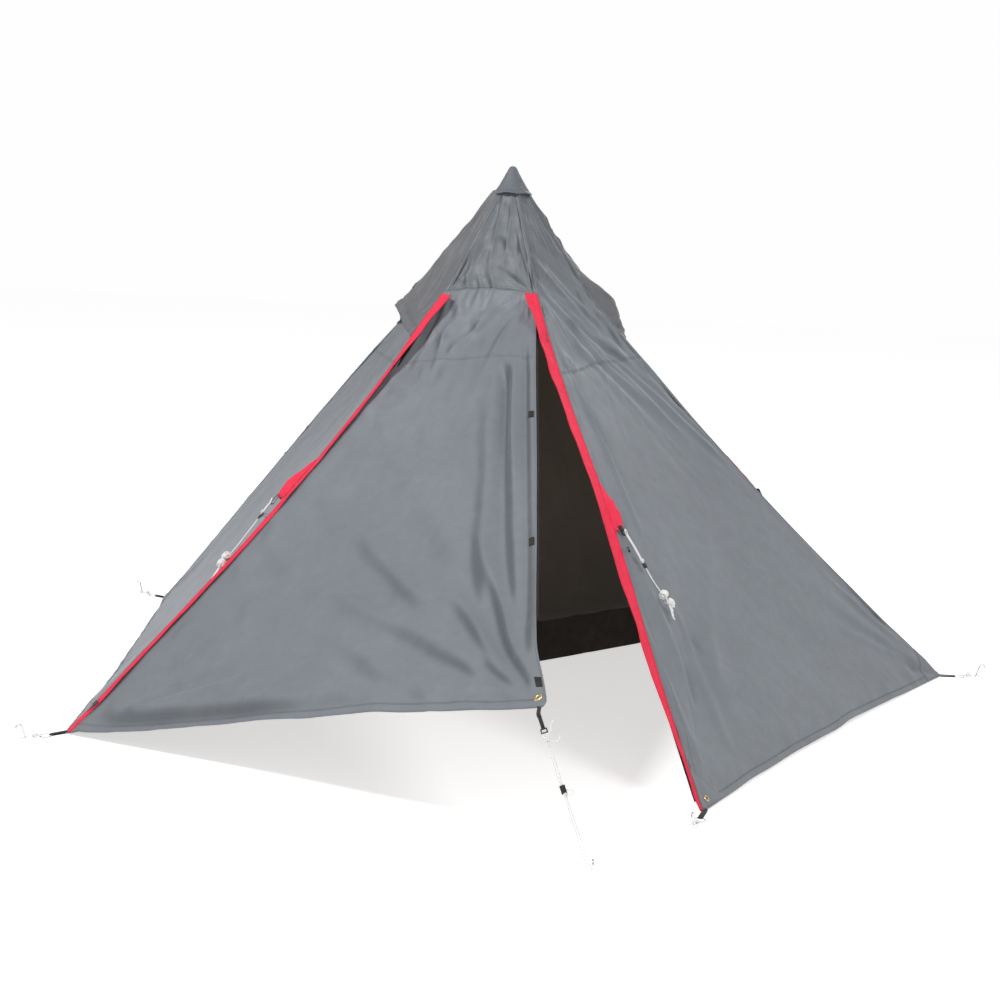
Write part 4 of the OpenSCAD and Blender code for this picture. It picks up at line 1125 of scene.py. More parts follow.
# ---------------------------------------------------------------- vent hoods
def vent_hood(name, wall, hem, seed, wrinkle, stands_for, bulge=None):
    """Awning over a vent.

    hem is its lower edge, left to right seen from outside, as (degrees, radius, height).
    bulge is (span, span width, z, z width, height).
    """
    size = 90
    edge = smooth_path([compass(math.radians(angle), radius, z) for angle, radius, z in hem], 160)
    dist = run(edge)
    share = np.linspace(0, 1, size)
    low = along(share * dist[-1], dist, edge)
    start = CORNER_ANGLE[wall]
    angle = np.linspace(start, start + math.radians(72), size)
    top = np.stack([0.066 * np.cos(angle), 0.066 * np.sin(angle), np.full(size, 1.716)], -1)
    down = share[:, None, None]
    grid = top * (1 - down) + low * down
    # both sides follow the ridges, just proud of them
    for end, corner, col in ((0, wall, 0), (1, wall + 1, size - 1)):
        line = ridge(corner, grid[:, col, 2]) + 0.0012 * compass(CORNER_ANGLE[corner % 5], z=0.4)
        near = ease(1 - np.abs(share - end) / 0.30)[None, :, None]
        grid = grid + (line - grid[:, col])[:, None] * near
    grid = grid[::-1]                               # rows now run upwards
    out = normals(grid)
    span, up = np.broadcast_arrays(np.linspace(-1, 1, size)[None], share[:, None])
    inner = ease(1 - np.abs(span), 0, 0.12)
    x = span * np.linalg.norm(grid[:, -1] - grid[:, 0], axis=-1)[:, None] / 2
    y = up * 0.60
    rise = -0.010 * (1 - span ** 2) * np.sin(np.pi * up) * inner
    if bulge:
        bulge_span, span_width, bulge_z, z_width, height = bulge
        rise = rise + (height * bell(span - bulge_span, span_width)
                       * bell(grid[..., 2] - bulge_z, z_width)
                       * ease(1 - np.abs(span), 0, 0.14))
    # billow, diagonal folds, long folds and hem puckers
    rise = rise + wrinkle * 0.0085 * billow(x * 7, y * 4.5, seed) * inner * (1 - 0.7 * up)
    rise = rise + (wrinkle * 0.0045 * folds(x * 26 + y * 9, y * 5 - x * 3, seed + 1, 1.4)
                   * inner * (1 - up) ** 0.5)
    rise = rise + (wrinkle * 0.0050 * folds(span * 5.5, y * 1.3, seed + 2, 1.5)
                   * ease(up, 0, 0.2) * (1 - ease(up, 0.75, 1.0)) * inner)
    rise = rise + (wrinkle * 0.0040 * bell(y - 0.06, 0.05)
                   * folds(x * 18, y * 6, seed + 3, 1.5) * inner)
    # hem band, turned and sewn
    rise = rise + 0.0020 * (1 - ease(y, 0.032, 0.037)) - 0.0034 * bell(y - 0.038, 0.005)
    grid = grid + out * rise[..., None]
    grid[..., 2] += 0.006 * noise(span * 5, 0.3, seed + 4) * (1 - ease(up, 0, 0.25)) * inner
    # stay outside the canopy
    facing_angle = WALL_ANGLE[wall]
    angle = np.arctan2(grid[..., 1], grid[..., 0]) - facing_angle
    reach = np.hypot(grid[..., 0], grid[..., 1]) * np.cos(angle)
    least = plain_radius(grid[..., 2]) * COS36 + 0.006 * inner + 0.0006
    push = np.maximum(least - reach, 0) * (np.abs(angle) < math.radians(37))
    grid[..., 0] += push * math.cos(facing_angle)
    grid[..., 1] += push * math.sin(facing_angle)
    sheet(name, grid, M_HOOD, 0.0013, under=M_LINING, stands_for=stands_for)
    return grid


HOOD_LEFT = vent_hood(
    "vent_hood_left_cloth", wall=4,
    hem=[(162, 0.436, 1.222), (176, 0.372, 1.262), (190, 0.384, 1.292), (200, 0.398, 1.300),
         (214, 0.392, 1.262), (226, 0.412, 1.222), (234, 0.440, 1.206)],
    seed=701, wrinkle=1.6, stands_for="vent_hood_left")
HOOD_RIGHT = vent_hood(
    "vent_hood_right_cloth", wall=2,
    hem=[(18, 0.436, 1.214), (25, 0.436, 1.222), (34, 0.440, 1.240), (46, 0.440, 1.262),
         (60, 0.425, 1.268), (74, 0.412, 1.240), (84, 0.422, 1.212), (90, 0.446, 1.198)],
    seed=721, wrinkle=2.3, stands_for="vent_hood_right",
    bulge=(-0.76, 0.40, 1.345, 0.075, 0.040))
# turned-under hems behind the lowest rows
for name, hood in (("vent_hood_left_hem", HOOD_LEFT), ("vent_hood_right_hem", HOOD_RIGHT)):
    sheet(name, hood[:6] - normals(hood)[:6] * 0.0018, M_LINING, 0.0010)


# ---------------------------------------------------------------- top cap
# profile: share of the way up, radius, height
CAP_SHARE, CAP_R, CAP_Z = zip(
    (0, 0.0640, 1.7095), (0.08, 0.0598, 1.716), (0.40, 0.0430, 1.743), (0.78, 0.0195, 1.783),
    (0.92, 0.0130, 1.7975), (0.975, 0.0088, 1.8025), (1.0, 0.0006, 1.8036))


def build_cap():
    up = np.linspace(0, 1, 60)[:, None]
    angle = np.linspace(0, 2 * np.pi, 160, endpoint=False)[None]
    five = np.cos(5 * (angle - math.radians(18)))
    radius = np.interp(up, CAP_SHARE, CAP_R) * (1 + 0.035 * five * (1 - ease(up, 0.5, 0.95)))
    radius = radius + 0.0022 * folds(angle * 3.4 + 2, up * 2.2, 801, 1.4) * (1 - ease(up, 0.75, 1))
    radius = radius + 0.0012 * billow(angle * 5, up * 7, 802) * (1 - ease(up, 0.8, 1))
    # the folds meet themselves at the start angle
    close = ease(angle, 2 * np.pi - 0.5, 2 * np.pi)
    radius = radius * (1 - close) + radius[:, :1] * close
    # wavy, flared and sewn lower edge
    wave = np.sin(angle * 5 + 0.4) + 0.6 * np.sin(angle * 3 + 2)
    z = np.interp(up, CAP_SHARE, CAP_Z) - 0.0022 * (1 - ease(up, 0, 0.25)) * wave - 0.0008
    radius = radius + 0.0025 * (1 - ease(up, 0, 0.14)) * (1 + 0.6 * np.sin(angle * 4 + 1))
    radius = radius + 0.0009 * (1 - ease(up, 0.11, 0.13)) - 0.0008 * bell(up - 0.135, 0.012)
    return np.stack([radius * np.cos(angle), radius * np.sin(angle), np.minimum(z, 1.8035)], -1)


CAP = build_cap()
sheet("top_cap_cloth", CAP, M_CAP, 0.0013, under=M_LINING, wrap=True, stands_for="top_cap")


# ---------------------------------------------------------------- tapes and zips
def ridge_tape(corner):
    """Tape under a ridge, inside the canopy."""
    angle = CORNER_ANGLE[corner]
    line = ridge(corner, np.linspace(0.03, 1.66, 160)) - unit(compass(angle, z=0.9)) * 0.010
    return strap(line, sideways(angle), 0.022, 0.0009)


def hem_tape(wall):
    span = np.linspace(-0.965, 0.965, 160)
    line, _ = on_wall(wall, span, 0.016, -0.0034)
    up = unit(on_wall(wall, span, 0.036)[0] - on_wall(wall, span, 0.016)[0])
    return strap(line, up, 0.022, 0.0009)


joined("ridge_seam_tapes", [ridge_tape(corner) for corner in range(5)], M_WEB,
       "black_webbing", stands_for="ridge_tapes")
joined("hem_tape_strips", [hem_tape(wall) for wall in range(1, 5)], M_GREY_TAPE,
       "canopy_fabric", stands_for="hem_tapes")

zip_z = np.linspace(0.02, KNEE_Z - 0.012, 200)
zip_part = (zip_z > 0.25) & (zip_z < 1.19)              # length of the right tape
right_line, left_line = ridge(1, zip_z), ridge(0, zip_z)
right_in, left_in = into_front(right_line, 1), into_front(left_line, -1)
joined("zip_tape_right_woven",
       [strap((right_line + right_in * 0.0080 - FRONT_OUT * 0.003)[zip_part],
              right_in[zip_part], 0.011, 0.001)],
       M_ZIP, "zip_tape", stands_for="zip_tape_right")
joined("zip_tape_left_woven",
       [strap(left_line + left_in * 0.013 + FRONT_OUT * 0.0018, left_in, 0.024, 0.001),
        tube(left_line + left_in * 0.013 + FRONT_OUT * 0.0030, 0.0021, 8)],
       M_ZIP, "zip_tape", stands_for="zip_tape_left")
joined("zip_coil_right",
       [tube((right_line + right_in * 0.0140 - FRONT_OUT * 0.003)[zip_part], 0.0016, 8)],
       M_PLASTIC, "zip_tape", smooth=True)


def door_zip_tape():
    """Tape and coil standing behind the door's free edge."""
    height = np.linspace(0.19, 0.965, 220)
    edge, out = on_door(1.0, height)
    inward = unit(edge - on_door(0.97, height)[0])
    mean_out = unit(out[60:180].mean(0))
    line = edge + inward * 0.0030 - mean_out * 0.0052
    return joined("door_zip_tape_woven",
                  [strap(line, -mean_out, 0.009, 0.001),
                   tube(line - mean_out * 0.0045, 0.0014, 8)],
                  M_ZIP, "zip_tape", body=None, stands_for="door_zip_tape")


door_zip = door_zip_tape()


# ---------------------------------------------------------------- stitching
def canopy_rows():
    rows = []
    z = np.linspace(0.03, 1.68, 260)
    # two rows each side of the rear and side ridges, then beside the red flaps
    lines = [(wall, side, inset) for i in (2, 3, 4) for side, wall in ((-1, i), (1, i - 1))
             for inset in (0.0045, 0.0105)]
    lines += [(wall, side, inset) for wall, side in ((1, -1), (4, 1))
              for inset in (0.0060, 0.034)]
    for wall, side, inset in lines:
        rows.append(on_wall(wall, edge_span(side, z, inset), z))
    # hems and the cross seam
    span = np.linspace(-0.985, 0.985, 240)
    for wall in range(1, 5):
        for hem_z in (0.0155, 0.0175):
            rows.append(on_wall(wall, span, hem_z))
        for seam_z in (SEAM_Z + 0.0015, SEAM_Z + 0.0062):
            rows.append(on_wall(wall, span, seam_z + seam_bow(wall, span) * KNEE_Z / SLANT))
    # above the door
    for gable_z in (KNEE_Z + 0.004, KNEE_Z + 0.011):
        rows.append(on_wall(0, np.linspace(-0.97, 0.97, 80), gable_z))
    rows += [(hood[5], normals(hood)[5]) for hood in (HOOD_LEFT, HOOD_RIGHT)]
    ring = [*range(CAP.shape[1]), 0]
    rows.append((CAP[8, ring], normals(CAP, True)[8, ring]))
    return rows


def door_rows():
    share = np.linspace(0.01, 0.985, 260)
    seam = SEAM_Z / KNEE_Z
    rows = [on_door(share, height) for height in (0.0150, 0.0172, seam + 0.0010, seam + 0.0045)]
    height = np.linspace(0.02, 0.99, 320)
    rows.append(on_door(from_free_edge(0.006, height), height))
    width = np.interp(height, door_t, DOOR_WIDTH)
    rows += [on_door(inset / width, height) for inset in (0.03, 0.036)]
    return rows


def sew(name, rows, material, slot="canopy_fabric", body="shelter"):
    """One object of stitch rows, each given as (curve, normals)."""
    return joined(name, [stitches(*row) for row in rows], material, slot, body=body)


sew("canopy_stitching", canopy_rows(), M_THREAD)
sew("flap_stitching", [(flap[:, col], normals(flap)[:, col])
                       for flap in (FLAP_RIGHT, FLAP_LEFT) for col in (1, 11)],
    M_RED_THREAD, "red_fabric")
door_stitching = sew("door_stitching", door_rows(), M_THREAD, body=None)

# ---------------------------------------------------------------- guy points
# name, wall, side, how far the tongue stands off, lift of its webbing loop
GUY_POINTS = (
    ("a", 4, 1, 0.026, 0.019), ("b", 1, -1, 0.012, 0.012), ("c", 2, -1, 0.004, 0.006),
    ("e", 3, -1, 0.004, 0.006), ("d", 3, 1, 0.004, 0.006),
)
LOOP_Z = 0.656


def guy_tongue(wall, side, stand):
    """Red tongue beside a ridge, widest near its lower end."""
    up, share = np.linspace(0, 1, 40)[:, None], np.linspace(0, 1, 14)[None]
    z = 0.672 + up * 0.128
    near = np.interp(up, [0, 0.2, 1.0], [0.010, 0.004, 0.0015])
    far = np.interp(up, [0, 0.06, 0.30, 0.62, 1.0], [0.030, 0.036, 0.035, 0.024, 0.004])
    far = far * (1.45 if wall == 1 else 1.0)
    grid, out = on_wall(wall, edge_span(side, z, near + (far - near) * share), z)
    rise = (0.0035 + stand * share ** 1.2
            * np.interp(up, [0, 0.35, 0.8, 1.0], [0.75, 1.0, 0.35, 0.0])
            + 0.0025 * np.sin(np.pi * share) * (1 - up)
            + 0.0012 * noise(up * 7, share * 3, 900 + wall + side))
    return facing(grid + out * rise[..., None], out)


def guy_loop(wall, side, lift):
    """Webbing loop at a tongue's tip: the strap, its lower end and its directions."""
    x = side * (half_width(LOOP_Z) - (0.034 if wall == 1 else 0.018) / 0.86)
    y = LOOP_Z / KNEE_Z * SLANT
    top, out = on_wall_at(wall, x, y + 0.032, lift)
    low, _ = on_wall_at(wall, x, y + (0.006 if wall == 1 else 0.0), lift)
    down = unit(low - top)
    across = unit(np.cross(down, out))
    end = low + out * 0.001
    turn = [end + down * 0.010 * math.sin(t) + out * 0.0052 * math.cos(t)
            for t in np.linspace(0.2, np.pi - 0.2, 12)]
    path = [top + out * 0.003, top + down * 0.012 + out * 0.004, *turn,
            top + down * 0.012 - out * 0.002, top - out * 0.002]
    return strap(smooth_path(path, 60), across, 0.013, 0.0012), (end, down, across, out)


for letter, wall, side, stand, _ in GUY_POINTS:
    sheet("guy_patch_" + letter, guy_tongue(wall, side, stand), M_RED, 0.0020,
          slot="red_fabric", stands_for="guy_patches" if letter == "a" else None)
loop_straps, LOOP_FRAMES = zip(*(guy_loop(wall, side, lift)
                                 for _, wall, side, _, lift in GUY_POINTS))
joined("guy_webbing_loops", loop_straps, M_WEB, "black_webbing", stands_for="guy_loops")

# ---------------------------------------------------------------- corner patches
patch_rows = []
for wall in range(1, 5):
    for side in (-1, 1):
        up, share = np.linspace(0, 1, 26)[:, None], np.linspace(0, 1, 26)[None]
        z = 0.0045 + up * 0.095
        inset = 0.004 + share * (0.120 * (1 - up) + 0.003)
        grid, out = on_wall(wall, edge_span(side, z, inset), z)
        sheet("corner_patch_%d%s" % (wall, "l" if side < 0 else "r"),
              facing(grid + out * 0.0013, out), M_CANOPY, 0.0010,
              stands_for="corner_patches" if (wall, side) == (1, -1) else None)
        z = np.linspace(0.006, 0.096, 60)
        inset = 0.002 + 0.120 * (1 - (z - 0.0045) / 0.095)
        patch_rows.append(on_wall(wall, edge_span(side, z, inset), z, 0.0013))
sew("corner_patch_stitching", patch_rows, M_THREAD)


# ---------------------------------------------------------------- eyelets
def eyelet(center, axis, hole_r, rim_r, height):
    """Pressed eyelet: a rounded rim with a hole."""
    axis = unit(axis)
    first = unit(np.cross(axis, (0.3, 0.2, 1.0)))
    second = np.cross(axis, first)
    wide = rim_r - hole_r
    profile = [(hole_r, -height), (hole_r, height * 0.4), (hole_r + wide * 0.22, height),
               (hole_r + wide * 0.60, height * 0.86), (rim_r, height * 0.15),
               (rim_r, -height * 0.2), (rim_r * 0.94, -height)]
    points = np.array([[center + first * r * math.cos(t) + second * r * math.sin(t) + axis * h
                        for r, h in profile]
                       for t in np.linspace(0, 2 * np.pi, 40, endpoint=False)])
    index = np.arange(40 * len(profile)).reshape(40, -1)
    after = np.roll(index, -1, 0)
    faces = []
    for j in range(len(profile)):
        k = (j + 1) % len(profile)
        faces += np.stack([index[:, j], after[:, j], after[:, k], index[:, k]], -1).tolist()
    return points.reshape(-1, 3), faces, None


center, out = on_door(from_free_edge(0.024, 0.020), 0.020, 0.0010)
joined("door_eyelet", [eyelet(center, out, 0.0042, 0.0120, 0.0014)], M_BRASS, "brass",
       smooth=True, body="door", stands_for="door_grommet")
eyelets = []
for wall, side in ((4, 1), (1, -1), (2, -1), (3, -1), (4, -1)):
    center, out = on_wall_at(wall, side * (FOOT_HALF - 0.052), 0.026, 0.0032)
    eyelets.append(eyelet(center, out, 0.0046, 0.0092, 0.0010))
joined("corner_eyelets", eyelets, M_BRASS, "brass", smooth=True, stands_for="corner_grommets")


# ---------------------------------------------------------------- hook-and-loop tabs
def door_tab(height, half_height, inset, stands_for):
    t = height + np.linspace(-1, 1, 12)[:, None] * half_height / 1.95
    inset = inset + np.linspace(0, 0.020, 8)[None]
    grid, out = on_door(from_free_edge(inset, t), t, 0.0016)
    return sheet("door_hook_tab_%d" % int(height * 100), facing(grid, out), M_HOOK, 0.0013,
                 slot="hook_tape", body=None, stands_for=stands_for)


door_tabs = [door_tab(0.052, 0.020, 0.006, "door_fastener_tabs"),
             door_tab(0.354, 0.017, 0.008, None), door_tab(0.665, 0.016, 0.008, None)]
for z in (0.066, 0.483, 0.906):
    row = int(np.argmin(np.abs(FLAP_RIGHT[:, 0, 2] - z)))
    # the tab sits towards the flap's free edge, behind the cloth
    reach = np.linalg.norm(FLAP_RIGHT[row, 0] - ridge(1, np.array([z]))[0])
    col = 2 if reach > 0.02 else 7
    area_of_tab = (slice(row - 3, row + 3), slice(col, col + 4))
    sheet("flap_hook_tab_%d" % int(z * 100),
          FLAP_RIGHT[area_of_tab] - normals(FLAP_RIGHT)[area_of_tab] * 0.0023,
          M_HOOK, 0.0012, slot="hook_tape",
          stands_for="flap_fastener_tabs" if z == 0.066 else None)

# ---------------------------------------------------------------- CAD hardware kept as it is
CAD_MATERIALS = {
    "corner_rings": M_STEEL, "ground_pegs": M_PEG, "apex_pocket": M_WEB,
    "vent_prop_mounts": M_PLASTIC, "vent_prop_left": M_PLASTIC, "vent_prop_right": M_PLASTIC,
    "pole_section_bottom": M_ALUMINIUM, "pole_sections_middle": M_ALUMINIUM,
    "pole_section_top": M_ALUMINIUM, "pole_ferrules": M_ALUMINIUM, "pole_foot": M_RUBBER,
    "pole_tip": M_PLASTIC, "pole_shock_cord": M_SHOCK, "zip_slider_left": M_PLASTIC,
    "zip_slider_right": M_PLASTIC, "guyline_runner": M_PLASTIC,
}
for node, material in CAD_MATERIALS.items():
    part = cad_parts[node]
    if not part.material_slots:
        part.data.materials.append(material)
    for slot in part.material_slots:
        slot.material = material


# ---------------------------------------------------------------- cords
def local_frame(origin, first, second, third):
    """Function that places a point by its distances along three directions."""
    def place(along_first, along_second=0.0, along_third=0.0):
        return origin + first * along_first + second * along_second + third * along_third
    return place


def path_in(place, rows, samples):
    return smooth_path([place(*row) for row in rows], samples)


def cord(place, rows, samples, radius):
    return tube(path_in(place, rows, samples), radius)


def knot(center, axis, radius, turns, thick, start, spread=1.0):
    """A few turns of cord about an axis, from the angle start."""
    axis = unit(axis)
    x = unit(np.cross(axis, (0.31, 0.77, 0.2)))
    y = np.cross(axis, x)
    t = np.linspace(0, 1, 26 * turns)
    angle = 2 * np.pi * turns * t + start
    winding = radius * (1 + 0.10 * np.sin(angle * 0.5 + start))
    rise = (t - 0.5) * thick * 2.1 * turns * spread
    return tube(center + (x * np.cos(angle)[:, None] + y * np.sin(angle)[:, None])
                * winding[:, None] + axis * rise[:, None], thick)


def bight(center, lengthwise, across, out, size, thick):
    """A narrow loop of cord."""
    t = np.linspace(0, 2 * np.pi, 44)
    return tube(center + lengthwise * (size * (1 - np.cos(t)) / 2)[:, None]
                + across * (0.30 * size * np.sin(t))[:, None]
                + out * (0.10 * size * np.sin(t / 2) ** 2)[:, None], thick)


# tensioner section: across, out; and its stations: along, scale
TENSIONER_SECTION = ((-0.0078, -0.0026), (0.0078, -0.0026), (0.0092, 0.0), (0.0078, 0.0028),
                     (-0.0078, 0.0028), (-0.0092, 0.0))
TENSIONER_STATIONS = ((-0.009, 0.72), (-0.006, 1.0), (0.006, 1.0), (0.009, 0.72))


def stowed_guyline(name, point, degrees, body, stands_for, total, runner_at, hank_at):
    """Guyline hanging from a guy loop, tied in a hank, with its tensioner."""
    end, down, across, out = LOOP_FRAMES[point]
    angle = math.radians(degrees)
    hang = unit(down * math.cos(angle) + across * math.sin(angle))
    wide = unit(np.cross(hang, out))
    at = local_frame(end + out * 0.004, hang, wide, out)
    thin, thick = 0.0019, 0.0024
    # eye round the loop, two strands to the tensioner and one on to the hank
    parts = [
        cord(at, [(0.012, 0.0035, 0.002), (0.001, 0.005, 0.004), (-0.006, 0.0, 0.006),
                  (0.001, -0.005, 0.004), (0.012, -0.0035, 0.002)], 40, thin),
        cord(at, [(0.010, 0.0036, 0.002), (runner_at * 0.5, 0.0050, 0.004),
                  (runner_at + 0.006, 0.0026, 0.002)], 40, thin),
        cord(at, [(0.010, -0.0036, 0.002), (runner_at * 0.5, -0.0040, 0.003),
                  (runner_at + 0.006, -0.0026, 0.002)], 40, thin),
        cord(at, [(runner_at, 0.0, 0.002), ((runner_at + hank_at) / 2, 0.003, 0.003),
                  (hank_at, 0.0, 0.006)], 40, thin),
        knot(at(runner_at - 0.018, 0.0, 0.003), hang, 0.0050, 3, 0.0016, 1.0),
    ]
    # the hank: two tight bundles of wraps with short bights pressed against them
    for center, axis, start in ((at(hank_at + 0.004, 0.004, 0.012), hang * 0.35 + wide, 0.4),
                                (at(hank_at + 0.034, -0.004, 0.012), hang * 0.8 - wide * 0.5,
                                 2.2)):
        axis = unit(axis)
        square = np.cross(axis, out)
        parts.append(knot(center, axis, 0.0100, 5, thick, start))
        parts.append(knot(center, axis, 0.0060, 4, thick, start + 1.0, spread=1.1))
        parts.append(knot(center, unit(square + axis * 0.3), 0.0108, 2, thick, start + 2.0))
        for sign in (1, -1):
            parts.append(bight(center + axis * sign * 0.006, axis * sign, unit(square), out,
                               0.013, 0.0023))
    # two long loops hang below it
    rest = total - hank_at
    for k, (x0, x1) in enumerate(((0.004, 0.012), (-0.002, 0.004))):
        parts.append(cord(at, [
            (hank_at + 0.038, x0, 0.010), (hank_at + 0.038 + rest * 0.25, x0 + 0.004, 0.008),
            (total - 0.010 - 0.012 * k, x1, 0.005), (total - 0.014 * k, x1 - 0.004, 0.004),
            (total - 0.012 - 0.012 * k, x1 - 0.007, 0.004),
            (hank_at + 0.040 + rest * 0.2, x0 - 0.004, 0.007),
            (hank_at + 0.036, x0 - 0.003, 0.010)], 60, 0.0020))
    joined(name, parts, M_CORD, "white_cord", smooth=True, body=body, stands_for=stands_for)
    points = [at(runner_at + step, 0, 0.0025) + wide * x * scale + out * height * scale
              for step, scale in TENSIONER_STATIONS for x, height in TENSIONER_SECTION]
    tensioner = joined(name + "_tensioner", [(np.array(points), loft_faces(4, 6), None)],
                       M_PLASTIC, "black_plastic", body=body)
    bevel = tensioner.modifiers.new("bevel", "BEVEL")
    bevel.width = 0.0008
    bevel.segments = 2


stowed_guyline("ridge_cord_left", point=0, degrees=-30, body="left_ridge_line",
               stands_for="ridge_guyline_left", total=0.345, runner_at=0.070, hank_at=0.240)
stowed_guyline("ridge_cord_right", point=1, degrees=3, body="right_ridge_line",
               stands_for="ridge_guyline_right", total=0.312, runner_at=0.122, hank_at=0.226)

# directions of the door guyline: along it, along its buckle's bars, and square to both
LINE = unit(DOOR_PEG - GUY_CORNER)
BAR = unit(np.cross(LINE, (0.18, -0.84, 0.51)))
LINE_OUT = np.cross(LINE, BAR)


def door_guyline():
    at = local_frame(GUY_CORNER + LINE * 0.056, LINE, BAR, LINE_OUT)
    length = float(np.linalg.norm(DOOR_PEG - GUY_CORNER)) - 0.068
    parts = [
        # eye round the buckle, its knots and two tails
        cord(at, [(0.016, 0.002), (0.004, 0.0052), (-0.004, 0.0, 0.001), (0.004, -0.0052),
                  (0.016, -0.002)], 40, 0.0016),
        knot(at(0.017), LINE, 0.0046, 3, 0.0017, 0.5),
        knot(at(0.024), LINE + BAR * 0.5, 0.0040, 2, 0.0017, 1.5),
        cord(at, [(0.008,), (0.000, -0.014, 0.004), (-0.016, -0.022, 0.010),
                  (-0.024, -0.030, 0.012)], 24, 0.0016),
        cord(at, [(0.016,), (0.024, -0.014, 0.003), (0.026, -0.028, 0.006),
                  (0.016, -0.036, 0.010)], 24, 0.0016),
    ]
    for sign in (1, -1):        # two strands down to the peg
        parts.append(cord(at, [(0.022, 0.0016 * sign), (0.09, 0.0034 * sign),
                               (0.140, 0.0018 * sign)], 30, 0.0015))
        parts.append(cord(at, [(0.138, 0.0018 * sign), (0.27, 0.0034 * sign),
                               (length - 0.02, 0.0040 * sign),
                               (length + 0.010, 0.0050 * sign)], 40, 0.0015))
    parts.append(knot(at(0.159, -0.002), LINE, 0.0042, 2, 0.0015, 0.2))
    parts.append(bight(at(0.155, -0.002), unit(-BAR + LINE * 0.2), LINE, LINE_OUT, 0.022,
                       0.0015))
    joined("door_cord", parts, M_CORD, "white_cord", smooth=True, body="door_line",
           stands_for="door_guyline")


def peg_frame(corner):
    """Frame at a ground corner: towards its peg, to the side, up. Corner 1 pegs forward."""
    angle = CORNER_ANGLE[corner] - (math.radians(40) if corner == 1 else 0.0)
    return local_frame(compass(CORNER_ANGLE[corner], CORNER_R), compass(angle),
                       sideways(angle), UP)


# one side of the loop from ring to peg: out, aside, up
PEG_LOOP = ((0.076, 0.0, 0.0035), (0.082, 0.006, 0.0085), (0.096, 0.007, 0.007),
            (0.118, 0.010, 0.006), (0.136, 0.008, 0.006), (0.143, 0.0, 0.006))
PEG_LOOP += tuple((out, -aside, up) for out, aside, up in PEG_LOOP[-2::-1])


def peg_cord(corner):
    """Loop from a corner ring to its peg, with two knots and two tails."""
    at = peg_frame(corner)
    outward, aside = at(1) - at(0), at(0, 1) - at(0)
    sign = 1 if corner % 2 else -1
    return [
        cord(at, PEG_LOOP, 90, 0.0017),
        knot(at(0.094, 0, 0.0085), outward, 0.0055, 3, 0.0018, corner * 1.3),
        knot(at(0.100, 0.002, 0.0085), outward + aside * 0.6, 0.0046, 2, 0.0018, corner * 0.7),
        cord(at, [(0.094, 0, 0.010), (0.100, 0.016 * sign, 0.014), (0.086, 0.038 * sign, 0.010),
                  (0.070, 0.052 * sign, 0.006)], 30, 0.0016),
        cord(at, [(0.100, 0, 0.010), (0.112, -0.018 * sign, 0.012),
                  (0.104, -0.040 * sign, 0.008), (0.120, -0.058 * sign, 0.005)], 30, 0.0016),
    ]


door_guyline()
joined("corner_peg_cords", sum((peg_cord(corner) for corner in range(5)), []), M_CORD,
       "white_cord", smooth=True, stands_for="corner_cords")

# ---------------------------------------------------------------- webbing and toggles
at_guy = local_frame(GUY_CORNER, LINE, BAR, LINE_OUT)
low_point, _ = on_door(from_free_edge(0.022, 0.006), 0.006, -0.0026)
high_point, _ = on_door(from_free_edge(0.024, 0.026), 0.026, -0.0030)
web_path = smooth_path([high_point, low_point, at_guy(0.004), at_guy(0.014)], 40)
joined("door_corner_webbing", [strap(web_path, BAR, 0.011, 0.0015)], M_WEB, "black_webbing",
       body="door", stands_for="door_corner_loop")
# doubled pull strap and its two-bar buckle
joined("door_pull_strap",
       [strap(path_in(at_guy, [(0.008, 0, gap), (0.026, 0, gap * 1.7), (0.046, 0, gap)], 24),
              BAR, 0.0095, 0.0013) for gap in (0.0016, -0.0016)],
       M_WEB, "black_webbing", body="door_line")
BUCKLE_HALF = 0.0075
buckle_bars = [[(step, -BUCKLE_HALF), (step, BUCKLE_HALF)] for step in (0.044, 0.054)]
buckle_bars += [[(0.043, x), (0.0555, x)] for x in (-BUCKLE_HALF, BUCKLE_HALF)]
joined("door_pull_buckle",
       [tube([at_guy(*end) for end in bar], 0.0017, 10) for bar in buckle_bars],
       M_PLASTIC, "black_plastic", smooth=True, body="door_line")

# doubled webbing from each pegged corner round its ring: out, up
CORNER_WEB = ((-0.022, 0.0088), (-0.004, 0.0072), (0.020, 0.0066), (0.040, 0.0060),
              (0.0465, 0.0042), (0.047, 0.0030), (0.0465, 0.0020), (0.040, 0.0014),
              (0.020, 0.0016), (-0.004, 0.0024), (-0.022, 0.0040))
corner_straps = []
for corner in range(5):
    at = peg_frame(corner)
    path = path_in(at, [(out, 0.0, up) for out, up in CORNER_WEB], 70)
    corner_straps.append(strap(path, at(0, 1) - at(0), 0.013, 0.0013))
joined("corner_webbing_loops", corner_straps, M_WEB, "black_webbing",
       stands_for="corner_loops")


def toggle(wall, side, inset, lift):
    """Barrel beside a flap that holds the rolled door, and its two elastic strands."""
    half = float(half_width(0.617))
    center, out = on_wall_at(wall, side * (half - inset), 0.617 / KNEE_Z * SLANT, lift)
    root, _ = on_wall_at(wall, side * (half - 0.004), 0.622 / KNEE_Z * SLANT, 0.006)
    axis = unit(np.cross(out, unit(center - root)))
    first = unit(np.cross(axis, out))
    second = np.cross(axis, first)
    points = []
    for step in np.linspace(-1, 1, 15):
        radius = 0.0036 * np.sqrt(max(1 - abs(step) ** 6, 0.02))
        points += [center + axis * step * 0.010
                   + (first * math.cos(t) + second * math.sin(t)) * radius
                   for t in np.linspace(0, 2 * np.pi, 16, endpoint=False)]
    strands = [tube(smooth_path([root + axis * off * 2.0,
                                 (root + center) / 2 + axis * off * 1.6 + out * 0.004,
                                 center + axis * off * 0.4 + out * 0.0030], 20), 0.0012, 8)
               for off in (0.003, -0.003)]
    return (np.array(points), loft_faces(15, 16), None), strands


